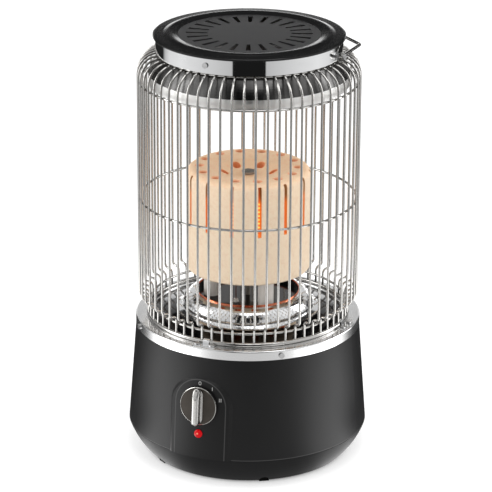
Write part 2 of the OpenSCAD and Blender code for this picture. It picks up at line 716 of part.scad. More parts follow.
// Frames that turn as little as they can along a path
function path_normals(path) = [for (i = 0, n = square_to([1, 0.3, 0.1], path_tangent(path, 0)); i < len(path);
  i = i + 1, n = i < len(path) ? square_to(n, path_tangent(path, i)) : n) n];
module tube_along(path, radius, sides) {
  normals = path_normals(path);
  points = [for (i = [0:len(path) - 1], k = [0:sides - 1]) let (angle = 360 * k / sides)
    path[i] + radius * (cos(angle) * normals[i] + sin(angle) * cross(path_tangent(path, i), normals[i]))];
  last = (len(path) - 1) * sides;
  walls = [for (i = [0:len(path) - 2], k = [0:sides - 1])
    let (a = i * sides + k, b = i * sides + (k + 1) % sides)
    each [[a, a + sides, b], [b, a + sides, b + sides]]];
  ends = [for (k = [1:sides - 2]) each [[0, k, k + 1], [last, last + k + 1, last + k]]];
  polyhedron(points = points, faces = concat(walls, ends));
}
// Least distance between the walls of stretches of a tube that are not neighbours on its path
function least_gap(path, radius, apart) = min([for (i = [0:len(path) - 1 - apart])
  min([for (j = [i + apart:len(path) - 1]) norm(path[i] - path[j])])]) - 2 * radius;

module heating_coil_outer() {
  echo(outer_coil_least_gap = least_gap(coil_path, coil_wire_r, curl_rings - 3));
  color(hot_orange) tube_along(coil_path, coil_wire_r, coil_sides);
}

inner_angles = spread(inner_bores, inner_turn);
inner_lead_angles = [inner_angles[0], inner_angles[inner_bores - 1]];
inner_lead_places = [for (angle = inner_lead_angles) inner_ring_r * [sin(angle), -cos(angle)]];
all_lead_places = concat(lead_places, inner_lead_places);
module heating_coil_inner() color(hot_orange) {
  rod_foot_z = coil_bridge_z - coil_wire_r - 0.5;
  at_angles(inner_angles) translate([0, -inner_ring_r, rod_foot_z])
    cylinder(r = bore_r - coil_gap, h = coil_top_z - rod_foot_z);
  rotate([0, 0, inner_angles[0] - 90]) translate([0, 0, coil_bridge_z])
    rotate_extrude(angle = 360 * (inner_bores - 1) / inner_bores)
      translate([inner_ring_r, 0]) circle(r = coil_wire_r);
  for (place = inner_lead_places) translate([place.x, place.y, coil_end_z])
    cylinder(r = coil_wire_r, h = rod_foot_z - coil_end_z + 1);
}

module lead_bushes() color(ceramic_white) for (place = all_lead_places)
  translate([place.x, place.y, cup_floor_z + sheet / 2 - bush_h / 2]) difference() {
    union() {
      cylinder(r = bush_r, h = bush_h);
      translate([0, 0, bush_h / 2 + sheet / 2 + seat_gap]) cylinder(r = bush_r + 0.4, h = 1.5);
    }
    translate([0, 0, -1]) cylinder(r = coil_wire_r + run_gap, h = bush_h + 2);
  }

module insulator_posts() color(ceramic_white) at_angles(spread(3, post_angle))
  translate([0, -post_ring_r, cup_floor_z + sheet + seat_gap])
    cylinder(r = post_r, h = post_h - 2 * seat_gap);

module ceramic_block() color(cream) difference() {
  lathe(concat(
    [[rod_r + rod_gap, block_z], [block_r - 2, block_z], [block_r, block_z + 2]],
    round_stretch([block_r - block_edge, block_top_z - block_edge], block_edge, block_edge, 0, 90, 6),
    [[dish_r, block_top_z], [dish_shoulder_r, block_top_z - dish_shoulder_drop], [block_flat_r, hollow_z],
      [rod_r + rod_gap, hollow_z]]));
  for (i = [0:last_bore]) {
    at_angles([block_turn + leg_step * i]) {
      translate([0, -outer_ring_r, block_z - 1]) cylinder(r = bore_r, h = block_h + 2);
      translate([0, -outer_ring_r, block_top_z - mouth_h])
        cylinder(r1 = bore_r, r2 = bore_r + 2 * mouth_flare, h = 2 * mouth_h);
      translate([-slot_w / 2, -block_r - 1, block_top_z - slot_h])
        cube([slot_w, block_r + 1 - outer_ring_r, slot_h - slot_drop]);
    }
    if (i % 2 == 0) coil_tunnel(i);
  }
  at_angles(inner_angles) translate([0, -inner_ring_r, block_z - 1]) cylinder(r = bore_r, h = block_h + 2);
}
// Passage for the wire between the tops of two neighbouring bores
module coil_tunnel(i) at_angles([block_turn + leg_step * (i + 0.5)])
  translate([0, -outer_ring_r * cos(leg_step / 2), coil_top_z]) rotate([0, 90, 0])
    cylinder(r = coil_wire_r + 1.2, h = 2 * outer_ring_r * sin(leg_step / 2), center = true);

rod_low_z = ledge_z - low_nut_h - 5;
rod_high_z = hollow_z + washer_t + top_nut_h + 0.8;
module tie_rod() color(steel_grey) translate([0, 0, rod_low_z])
  cylinder(r = rod_r, h = rod_high_z - rod_low_z);

module tie_washer() color(steel_grey) translate([0, 0, hollow_z + seat_gap]) difference() {
  cylinder(r = washer_r, h = washer_t);
  translate([0, 0, -1]) cylinder(r = rod_r + rod_gap, h = washer_t + 2);
}

module tie_nuts() color("#8e8f8c") {
  hex_nut(hollow_z + washer_t + 2 * seat_gap, top_nut_r, top_nut_h);
  hex_nut(ledge_z - low_nut_h, low_nut_r, low_nut_h);
}
module hex_nut(z, radius, height) translate([0, 0, z]) difference() {
  cylinder(r = radius, h = height, $fn = 6);
  translate([0, 0, -1]) cylinder(r = rod_r + run_gap, h = height + 2);
}

// Guard

module guard_bottom_ring() color(steel_grey) round_bar(ring_r, foot_bar_r, ring_z);

module guard_wires() color(steel_grey) at_angles(spread(wire_count, wire_turn - 90)) rotate([90, 0, 0])
  bent_wire([[ring_r, ring_z + foot_bar_r], [ring_r, step_z], [guard_r, step_z], [guard_r, guard_top_z],
    [top_end_r, guard_top_z]], [guard_step / 2, guard_step / 2, shoulder_r], wire_r);

module guard_hoop_lower() color(steel_grey)
  round_bar(ring_r - wire_r - hoop_r - seat_gap, hoop_r, lower_hoop_z);
module guard_hoop_middle() color(steel_grey)
  round_bar(guard_r - wire_r - hoop_r - seat_gap, hoop_r, middle_hoop_z);
module guard_hoop_upper() color(steel_grey)
  round_bar(guard_r - wire_r - hoop_r - seat_gap, hoop_r, upper_hoop_z);
module guard_top_ring() color(steel_grey) round_bar(top_ring_r, top_bar_r, guard_top_z);

module clip_screw_holes() for (side = [-1, 1]) translate([side * clip_screw_x, -clip_screw_r, base_h])
  cylinder(r = small_screw_r + run_gap, h = 2 * skirt_h);

module guard_clips() color(chrome_grey) at_angles(spread(4, 0)) difference() {
  tab_z = rim_top_z + seat_gap;
  union() {
    translate([-clip_w / 2, -ring_r - strap_out - clip_tab, tab_z])
      cube([clip_w, clip_tab + clip_t / 2, clip_t]);
    translate([-strap_w / 2, -ring_r, ring_z]) rotate([0, 90, 0]) difference() {
      cylinder(r = strap_out, h = strap_w);
      translate([0, 0, -1]) cylinder(r = strap_in, h = strap_w + 2);
      translate([0, -strap_out - 1, -1]) cube([strap_out + 1, 2 * strap_out + 2, strap_w + 2]);
    }
    for (y = [-strap_out, strap_in]) translate([-strap_w / 2, -ring_r + y, tab_z])
      cube([strap_w, clip_t, ring_z - tab_z]);
  }
  clip_screw_holes();
}

module clip_screws() color(steel_grey) at_angles(spread(4, 0)) for (side = [-1, 1])
  translate([side * clip_screw_x, -clip_screw_r, rim_top_z + seat_gap + clip_t])
    down_screw(small_screw_r, small_head_r, small_head_h, 5);

// Top

module carrier_screw_holes() at_angles(spread(4, 45)) translate([0, -carrier_screw_r, carrier_z])
  through_hole(small_screw_r + run_gap);

module upper_reflector() color(chrome_grey) difference() {
  shoulder_z = lip_z + lip_h;
  lathe(concat(
    [[lip_r - sheet, lip_z], [lip_r, lip_z]],
    bulged_line([lip_r, shoulder_z], [reflector_seat_r, seat_z], dish_bulge, 8),
    [[vent_r, seat_z], [vent_r, seat_z - sheet]],
    bulged_line([reflector_seat_r - sheet / 2, seat_z - sheet], [lip_r - sheet, shoulder_z],
      -dish_bulge, 8)));
  carrier_screw_holes();
}

module plate_carrier() color(steel_grey) difference() {
  lathe([[carrier_flange_r, carrier_z], [carrier_r, carrier_z], [carrier_r, carrier_top_z],
    [carrier_r - band_t, carrier_top_z], [carrier_r - band_t, carrier_z + band_t],
    [carrier_flange_r, carrier_z + band_t]]);
  carrier_screw_holes();
  band_holes();
}

module carrier_screws() color(steel_grey) at_angles(spread(4, 45))
  translate([0, -carrier_screw_r, carrier_z + band_t])
    down_screw(small_screw_r, small_head_r, small_head_h, carrier_z + band_t - seat_z + 4);

// Holes through the band and the carrier for the band screws and the handle pivots
module band_holes() {
  at_angles(band_screw_angles) wall_hole(band_r, band_mid_z, small_screw_r + run_gap);
  at_angles([90, 270]) wall_hole(band_r, pivot_z, pin_r + run_gap);
}

module top_band() color(chrome_grey) difference() {
  lathe([[band_in_r, band_z], [band_r, band_z], [band_r, band_top_z], [band_in_r, band_top_z]]);
  band_holes();
}

module band_screws() color(steel_grey) at_angles(band_screw_angles)
  wall_screw(band_r, band_mid_z, small_screw_r, small_head_r, small_head_h, 5);

module top_plate() color(enamel_black) difference() {
  edge = 1.4;
  bead = [[crest_r + bead_out, plate_z + bead_foot_rise], [crest_r + 4.5, crest_z - 0.7],
    [crest_r + 2.2, crest_z - 0.15], [crest_r, crest_z], [crest_r - 2.4, crest_z - 0.15],
    [crest_r - 5, crest_z - 0.6], [recess_floor_r, recess_z]];
  rim = [[band_in_r - 2, plate_z], [plate_r - edge, plate_z], [plate_r - edge, plate_z - 0.8],
    [plate_r - 0.3, plate_z - 0.8], [plate_r, plate_z - 0.3], [plate_r, plate_z + 1.2],
    [plate_r - 0.6, plate_z + 1.8], [plate_r - 2.2, plate_z + 2.2]];
  lathe(concat([[0, recess_z], [0, recess_z - plate_t]],
    [for (point = reversed(bead)) point - [0, plate_t]], rim, bead));
  at_angles(spread(plate_slots, 180 / plate_slots)) plate_slot();
}
module plate_slot() translate([0, 0, recess_z - 5]) linear_extrude(height = 10)
  polygon([for (end = [[-1, plate_slot_in], [1, plate_slot_in], [1, plate_slot_out], [-1, plate_slot_out]])
    [end.x * plate_slot_w / 2 * end.y / plate_slot_out, -end.y]]);

module handle_pivots() color(steel_grey) for (side = [-1, 1])
  translate([0, 0, pivot_z]) rotate([0, side * 90, 0]) {
    cylinder_between(band_in_r - 5, pivot_end_x + pivot_head_h, pin_r);
    cylinder_between(band_r + slip_gap, handle_x - eye_half - slip_gap, spacer_r);
    cylinder_between(pivot_end_x, pivot_end_x + pivot_head_h, spacer_r - 0.5);
  }
module cylinder_between(low, high, radius) translate([0, 0, low]) cylinder(r = radius, h = high - low);

module bail_handle() color(chrome_grey) translate([0, 0, pivot_z]) difference() {
  union() {
    bent_wire([[handle_x, eye_joint], [handle_x, bail_y - handle_arm], [handle_grip / 2, bail_y],
      [-handle_grip / 2, bail_y], [-handle_x, bail_y - handle_arm], [-handle_x, eye_joint]],
      [for (i = [1:4]) handle_bend], handle_r);
    for (side = [-1, 1]) translate([side * handle_x, 0, 0]) rotate([0, 90, 0])
      cylinder(r = eye_r, h = 2 * eye_half, center = true);
  }
  rotate([0, 90, 0]) cylinder(r = pin_r + run_gap, h = 2 * handle_x + 20, center = true);
}

rubber_feet();
bottom_cover();
bottom_screws();
base_shell();
control_panel();
cord_gland();
rotary_switch();
switch_spindle();
knob_disc();
knob_grip();
pilot_lens();
pilot_holder();
tip_switch();
tip_plunger();
tip_spring();
terminal_block();
thermal_cutout();
heat_shield();
shield_screws();
element_pedestal();
heater_cup();
lead_bushes();
insulator_posts();
ceramic_block();
heating_coil_outer();
heating_coil_inner();
tie_rod();
tie_washer();
tie_nuts();
reflector_pan();
base_rim();
rim_screws();
guard_bottom_ring();
guard_wires();
guard_hoop_lower();
guard_hoop_middle();
guard_hoop_upper();
guard_top_ring();
guard_clips();
clip_screws();
upper_reflector();
plate_carrier();
carrier_screws();
top_band();
band_screws();
top_plate();
handle_pivots();
bail_handle();
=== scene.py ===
"""Looks of a round radiant heater: glowing ceramic block, wire guard, chrome reflectors, black base."""
import json
import math

import bpy
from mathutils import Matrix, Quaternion, Vector


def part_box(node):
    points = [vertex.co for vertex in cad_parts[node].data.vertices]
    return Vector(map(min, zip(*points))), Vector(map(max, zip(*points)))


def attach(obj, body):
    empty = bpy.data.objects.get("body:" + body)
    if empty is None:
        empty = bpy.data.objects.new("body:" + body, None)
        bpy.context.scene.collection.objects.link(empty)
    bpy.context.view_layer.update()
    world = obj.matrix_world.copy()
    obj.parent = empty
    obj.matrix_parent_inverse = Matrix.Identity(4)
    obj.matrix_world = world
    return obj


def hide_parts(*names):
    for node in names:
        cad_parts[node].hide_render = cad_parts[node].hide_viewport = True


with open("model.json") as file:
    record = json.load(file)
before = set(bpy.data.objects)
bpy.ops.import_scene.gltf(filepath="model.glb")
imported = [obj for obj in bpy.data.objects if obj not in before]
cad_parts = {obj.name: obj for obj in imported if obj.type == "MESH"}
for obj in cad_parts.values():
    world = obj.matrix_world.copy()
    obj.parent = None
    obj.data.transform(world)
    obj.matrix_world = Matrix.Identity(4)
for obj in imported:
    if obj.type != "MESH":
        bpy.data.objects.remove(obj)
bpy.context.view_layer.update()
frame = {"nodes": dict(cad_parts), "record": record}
scene = bpy.context.scene
scene.view_settings.view_transform = "Standard"

# Sizes that the looks share with the solids, in metres and degrees

MM = 0.001
KNOB_Z = 108.5 * MM
KNOB_R = 24.6 * MM
BASE_R = 154.3 * MM
BASE_TOP_R = 144.3 * MM
BASE_H = 171 * MM
SEAM_Z = 38.5 * MM
PANEL_RAISE = 2.5 * MM
PANEL_HALF_W = 34 * MM
LAMP_DROP = 37.6 * MM
BORES = 14
BORE_RING_R = 62.4 * MM
BORE_R = 5 * MM
BLOCK_TURN = 8.2
BLOCK_WALL = 11.9 * MM
INNER_BORES = 6
INNER_RING_R = 31 * MM
INNER_TURN = 54
SLOT_W = 4 * MM
SLOT_H = 68.5 * MM
SLOT_DROP = 3.5 * MM
COIL_WIRE_R = 0.8 * MM
COIL_GAP = 0.3 * MM
COIL_TOP_DROP = 28 * MM
COIL_LOW_DROP = 3 * MM
COIL_TAIL = 6 * MM
BRIDGE_GAP = 0.7 * MM
LIP_H = 13 * MM
LEAN = math.atan2(BASE_R - BASE_TOP_R, BASE_H - SEAM_Z)

# Places where a finish changes on its piece, in metres

PAN_DARK_IN = 92 * MM
PAN_DARK_OUT = 123 * MM
RECESS_R = 89 * MM
UPSIDE_R = 100 * MM
PANEL_ARCH_Z = KNOB_Z - 1 * MM
CUP_LIP_LOW = 1.6 * MM
CUP_LIP_FULL = 1.0 * MM
CUP_FLOOR_DROP = 3 * MM
TOP_LIGHT_H = 60 * MM
GLOW_FADE = 11 * MM
CORE_IN = 0.6 * MM
CORE_OUT = 2.0 * MM
CORE_PROUD = 5 * MM
CORE_UP = 0.8 * MM


def wall_r(z):
    """Outer radius of the base's wall at a height."""
    return BASE_R + (BASE_TOP_R - BASE_R) * (z - SEAM_Z) / (BASE_H - SEAM_Z)


block_low, block_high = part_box("ceramic_block")
block_top_z = block_high.z
cup_low, cup_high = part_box("heater_cup")
lip_top_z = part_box("upper_reflector")[0].z + LIP_H
front_out = Vector((0, -math.cos(LEAN), math.sin(LEAN)))
front_up = Vector((0, math.sin(LEAN), math.cos(LEAN)))
knob_centre = Vector((0, -wall_r(KNOB_Z), KNOB_Z))
lamp_z = KNOB_Z - LAMP_DROP
lamp_centre = Vector((0, -wall_r(lamp_z), lamp_z))
lens_core = lamp_centre + front_out * CORE_PROUD + front_up * CORE_UP
coil_r = BORE_R - COIL_GAP - COIL_WIRE_R
coil_top_z = block_top_z - COIL_TOP_DROP
coil_low_z = block_top_z - SLOT_H - COIL_LOW_DROP
coil_bridge_z = block_low.z - COIL_WIRE_R - BRIDGE_GAP
coil_end_z = cup_low.z - COIL_TAIL

# Camera

VIEW_TURN = math.radians(23.5)
VIEW_RISE = math.radians(19.95)
VIEW_DISTANCE = 3.5
VIEW_AIM = Vector((0, 0, 0.27125))
VIEW_SIDE = -2.8 * MM
VIEW_ROLL = math.radians(0.3)
FOCAL_PIXELS = 2727.5
PICTURE_PIXELS = 492
SENSOR_W = 36

camera_data = bpy.data.cameras.new("camera")
camera_data.sensor_width = SENSOR_W
camera_data.lens = SENSOR_W * FOCAL_PIXELS / PICTURE_PIXELS
camera_data.clip_end = 50
camera = bpy.data.objects.new("camera", camera_data)
scene.collection.objects.link(camera)
back = Vector((math.sin(VIEW_TURN) * math.cos(VIEW_RISE), -math.cos(VIEW_TURN) * math.cos(VIEW_RISE),
               math.sin(VIEW_RISE)))
rightward = Vector((math.cos(VIEW_TURN), math.sin(VIEW_TURN), 0))
camera.location = VIEW_AIM + rightward * VIEW_SIDE + back * VIEW_DISTANCE
camera.rotation_euler = (back.to_track_quat("Z", "Y") @ Quaternion((0, 0, 1), VIEW_ROLL)).to_euler()
scene.camera = camera


# Shader values

class Value:
    """A socket whose arithmetic adds Math nodes to its tree."""

    def __init__(self, finish, socket):
        self.finish = finish
        self.socket = socket

    def __add__(self, other):
        return self.finish.math("ADD", self, other)

    def __radd__(self, other):
        return self.finish.math("ADD", other, self)

    def __sub__(self, other):
        return self.finish.math("SUBTRACT", self, other)

    def __rsub__(self, other):
        return self.finish.math("SUBTRACT", other, self)

    def __mul__(self, other):
        return self.finish.math("MULTIPLY", self, other)

    def __rmul__(self, other):
        return self.finish.math("MULTIPLY", other, self)

    def __truediv__(self, other):
        return self.finish.math("DIVIDE", self, other)

    def __rtruediv__(self, other):
        return self.finish.math("DIVIDE", other, self)

    def __lt__(self, other):
        return self.finish.math("LESS_THAN", self, other)

    def __gt__(self, other):
        return self.finish.math("GREATER_THAN", self, other)


class Finish:
    """A node tree that is filled node by node."""

    def __init__(self, tree):
        self.tree = tree
        tree.nodes.clear()

    def add(self, kind, settings=None, inputs=None, output=0):
        """Adds a node, sets its settings, then its sockets, and returns one of its outputs, if any."""
        node = self.tree.nodes.new(kind)
        for key, setting in (settings or {}).items():
            if key == "stops":
                stops = node.color_ramp.elements
                while len(stops) < len(setting):
                    stops.new(0.5)
                for stop, (place, colour) in zip(stops, setting):
                    stop.position = place
                    stop.color = (*colour, 1)
            else:
                setattr(node, key, setting)
        for key, value in (inputs or {}).items():
            socket = node.inputs[key]
            if isinstance(value, Value):
                self.tree.links.new(value.socket, socket)
            elif socket.type == "RGBA" and len(value) == 3:
                socket.default_value = (*value, 1)
            else:
                socket.default_value = value
        return Value(self, node.outputs[output]) if len(node.outputs) else None

    def math(self, operation, first, second=0.0):
        return self.add("ShaderNodeMath", {"operation": operation}, {0: first, 1: second})

    def length(self, first, second):
        """The length of a vector that has these two parts."""
        return self.math("SQRT", first * first + second * second)

    def smooth(self, value, low, high):
        """0 below low, 1 above high and an even curve between them."""
        return self.add("ShaderNodeMapRange", {"interpolation_type": "SMOOTHSTEP"},
                        {"Value": value, "From Min": low, "From Max": high})

    def place(self):
        """The point on the piece at rest."""
        return self.add("ShaderNodeTexCoord", output="Object")

    def normal(self):
        return self.add("ShaderNodeNewGeometry", output="Normal")

    def parts(self, vector):
        """The x, y and z of a vector."""
        node = self.add("ShaderNodeSeparateXYZ", None, {0: vector}).socket.node
        return [Value(self, socket) for socket in node.outputs]

    def stretch(self, vector, factors):
        return self.add("ShaderNodeVectorMath", {"operation": "MULTIPLY"}, {0: vector, 1: factors})

    def distance(self, vector, point):
        return self.add("ShaderNodeVectorMath", {"operation": "DISTANCE"}, {0: vector, 1: tuple(point)},
                        output="Value")

    def noise(self, vector, scale, detail=3.0, roughness=0.55):
        return self.add("ShaderNodeTexNoise", None,
                        {"Vector": vector, "Scale": scale, "Detail": detail, "Roughness": roughness})

    def mix(self, share, first, second):
        """A colour between two others."""
        return self.add("ShaderNodeMix", {"data_type": "RGBA", "clamp_factor": True},
                        {0: share, 6: first, 7: second}, output=2)

    def bump(self, height, strength, distance):
        return self.add("ShaderNodeBump", None,
                        {"Strength": strength, "Distance": distance, "Height": height})

    def surface(self, **sockets):
        """The shader and the output; underscores in the names stand for spaces."""
        shader = self.add("ShaderNodeBsdfPrincipled", None,
                          {key.replace("_", " "): value for key, value in sockets.items()})
        self.add("ShaderNodeOutputMaterial", None, {"Surface": shader})


def new_finish(name):
    material = bpy.data.materials.new(name)
    material.use_nodes = True
    return material, Finish(material.node_tree)


def radius_of(finish, place):
    """How far a point lies from the heater's axis."""
    x, y, _ = finish.parts(place)
    return finish.length(x, y)


def facing_axis(across, normal):
    """1 where a surface faces the heater's axis, 0 elsewhere."""
    return (across[0] * normal[0] + across[1] * normal[1]) < 0


def grey(level):
    return (level, level, level)


def dimmed(tone, share):
    return tuple(share * part for part in tone)


# Finishes

BLACK = grey(0)
CHROME_TONE = (0.84, 0.845, 0.85)
SATIN_DARK = (0.006, 0.006, 0.0063)
SATIN_PALE = (0.009, 0.009, 0.0093)


def no_edge(finish, place):
    return 0.0


def seam_highlight(finish, place):
    """The lower edge of the base's shell, paled by a painted highlight."""
    height = finish.parts(place)[2]
    return 1 - finish.smooth(height, SEAM_Z + 0.7 * MM, SEAM_Z + 1.4 * MM)


def panel_bevel_highlight(finish, place):
    """The upper edge of the bevel round the panel's face, which gets a painted highlight."""
    x, _, height = finish.parts(place)
    over_arch = finish.math("MAXIMUM", height - PANEL_ARCH_Z, 0.0)
    reach = finish.length(x, over_arch)
    outside = finish.smooth(reach, PANEL_HALF_W - 0.4 * MM, PANEL_HALF_W)
    return outside * (1 - finish.smooth(reach, PANEL_HALF_W + 0.8 * MM, PANEL_HALF_W + 1.4 * MM))


def moulded_plastic(name, dark, pale, roughness, grain, gloss=0.5, edge=no_edge, edge_highlight_tone=BLACK):
    """Satin plastic with a fine moulded grain, a slow drift in its gloss and, if asked, a painted
    highlight along an edge.
    """
    material, finish = new_finish(name)
    place = finish.place()
    cloud = finish.noise(place, scale=18, detail=2)
    fine = finish.noise(place, scale=2600, detail=2)
    finish.surface(
        Base_Color=finish.mix(edge(finish, place), finish.mix(cloud, dark, pale), edge_highlight_tone),
        Roughness=roughness + (cloud - 0.5) * 0.08 + (fine - 0.5) * 0.06,
        Specular_IOR_Level=gloss,
        Normal=finish.bump(fine, strength=grain, distance=0.12 * MM),
    )
    return material


def rubber(name):
    """Black rubber with a little dust."""
    material, finish = new_finish(name)
    place = finish.place()
    dust = finish.noise(place, scale=60, detail=4)
    finish.surface(
        Base_Color=finish.mix(dust, grey(0.0015), (0.004, 0.004, 0.0039)),
        Roughness=0.78 + (dust - 0.5) * 0.2,
        Specular_IOR_Level=0.1,
        Normal=finish.bump(finish.noise(place, scale=900, detail=2), strength=0.2, distance=0.2 * MM),
    )
    return material


def wiping_marks(finish, place):
    return finish.noise(finish.stretch(place, (1, 1, 3)), scale=14, detail=4)


def chrome(name):
    """Polished plating with faint wiping marks."""
    material, finish = new_finish(name)
    haze = finish.smooth(wiping_marks(finish, finish.place()), 0.45, 0.75)
    finish.surface(
        Base_Color=finish.mix(haze, CHROME_TONE, dimmed(CHROME_TONE, 0.94)),
        Metallic=1.0,
        Roughness=0.045 + haze * 0.06,
    )
    return material


def satin_chrome(name):
    """Plating of the rim, duller than the rest."""
    material, finish = new_finish(name)
    wipe = wiping_marks(finish, finish.place())
    finish.surface(
        Base_Color=finish.mix(wipe, grey(0.86), grey(0.8)),
        Metallic=1.0,
        Roughness=0.18 + wipe * 0.05,
    )
    return material


def pan_chrome(name):
    """Chrome of the reflector pan, with a black ring round the collar's foot: a painted dark reflection.
    """
    material, finish = new_finish(name)
    place = finish.place()
    radius = radius_of(finish, place)
    cloud = finish.noise(place, scale=24, detail=4)
    # A black ring between these radii: a painted dark reflection.
    black = finish.smooth(radius, PAN_DARK_IN - 1 * MM, PAN_DARK_IN + 1 * MM)
    black = black * (1 - finish.smooth(radius, PAN_DARK_OUT - 2 * MM, PAN_DARK_OUT + 1 * MM))
    finish.surface(
        Base_Color=finish.mix(black, CHROME_TONE, (0.03, 0.03, 0.031)),
        Metallic=1.0,
        Roughness=0.05 + cloud * 0.06,
    )
    return material


def cup_chrome(name):
    """Chrome of the cup, darkened inside as painted shade, with a lip painted copper red and glowing: a
    painted reflection of the hot coil.
    """
    material, finish = new_finish(name)
    place = finish.place()
    across = finish.parts(place)
    normal = finish.parts(finish.normal())
    height = across[2]
    cup_floor = (normal[2] > 0.5) * (height < cup_high.z - CUP_FLOOR_DROP)
    # Inside the cup: painted shade.
    inside = finish.math("MAXIMUM", facing_axis(across, normal), cup_floor)
    cloud = finish.noise(place, scale=24, detail=4)
    # The lip: a painted reflection of the glowing coil, in its colour and its emission.
    lip = finish.smooth(height, cup_high.z - CUP_LIP_LOW, cup_high.z - CUP_LIP_FULL)
    wall = finish.mix(inside, (0.74, 0.72, 0.7), (0.03, 0.028, 0.026))
    finish.surface(
        Base_Color=finish.mix(lip, wall, (0.5, 0.15, 0.06)),
        Metallic=1.0,
        Roughness=0.05 + cloud * 0.08,
        Emission_Color=finish.mix(lip, BLACK, (0.12, 0.014, 0.004)),
        Emission_Strength=1.0,
    )
    return material


def reflector_chrome(name):
    """Chrome of the upper reflector, dull and dark inside and above its lip as a painted dark
    reflection, near black and rough on its upper face.
    """
    material, finish = new_finish(name)
    place = finish.place()
    across = finish.parts(place)
    normal = finish.parts(finish.normal())
    cloud = finish.noise(finish.stretch(place, (1, 1, 0.4)), scale=22, detail=4)
    over_lip = finish.smooth(across[2], lip_top_z - 0.1 * MM, lip_top_z + 0.5 * MM)
    # Inside and above the lip the chrome turns dull and dark: a painted reflection of dark surroundings.
    heat = finish.math("MAXIMUM", facing_axis(across, normal), over_lip)
    dull = finish.mix(finish.smooth(cloud, 0.35, 0.7), (0.05, 0.049, 0.048), (0.2, 0.198, 0.195))
    upside = (normal[2] > 0.3) * (radius_of(finish, place) < UPSIDE_R)
    finish.surface(
        Base_Color=finish.mix(upside, finish.mix(heat, (0.95, 0.945, 0.93), dull), grey(0.012)),
        Metallic=1.0,
        Roughness=0.34 - heat * 0.12 + upside * 0.4 + cloud * 0.06,
    )
    return material


def guard_steel(name):
    """Bright drawn wire with fine lengthwise draw marks."""
    material, finish = new_finish(name)
    place = finish.place()
    draw = finish.noise(finish.stretch(place, (1, 1, 0.04)), scale=2200, detail=2)
    cloud = finish.noise(place, scale=40)
    finish.surface(
        Base_Color=finish.mix(cloud, (0.5, 0.49, 0.475), (0.62, 0.61, 0.59)),
        Metallic=1.0,
        Roughness=0.14 + draw * 0.1,
        Normal=finish.bump(draw, strength=0.05, distance=0.1 * MM),
    )
    return material


def zinc_steel(name):
    """Zinc plating with a fine spangle."""
    material, finish = new_finish(name)
    place = finish.place()
    spangle = finish.add("ShaderNodeTexVoronoi", None, {"Vector": place, "Scale": 420.0},
                         output="Distance")
    cloud = finish.noise(place, scale=90)
    finish.surface(
        Base_Color=finish.mix(cloud, (0.5, 0.5, 0.49), (0.62, 0.62, 0.63)),
        Metallic=1.0,
        Roughness=0.26 + spangle * 0.18,
    )
    return material


def bore_axes(finish, across, count, ring_r, turn):
    """How far out of the nearest bore's axis a point lies, and how far beside it."""
    x, y, _ = across
    step = 2 * math.pi / count
    steps = (finish.math("ARCTAN2", y, x) - math.radians(turn - 90)) / step + 0.5
    local = (steps - finish.math("FLOOR", steps) - 0.5) * step
    radius = finish.length(x, y)
    return radius * finish.math("COSINE", local) - ring_r, radius * finish.math("SINE", local)


def slot_mask(finish, out, beside, height):
    """1 on the walls of the block's slots, 0 elsewhere."""
    sideways = finish.math("ABSOLUTE", beside)
    between = 1 - finish.smooth(sideways, SLOT_W / 2 + 0.1 * MM, SLOT_W / 2 + 0.5 * MM)
    over_foot = height > block_top_z - SLOT_H - 1 * MM
    under_head = height < block_top_z - SLOT_DROP + 0.1 * MM
    return between * (out > 0) * over_foot * under_head


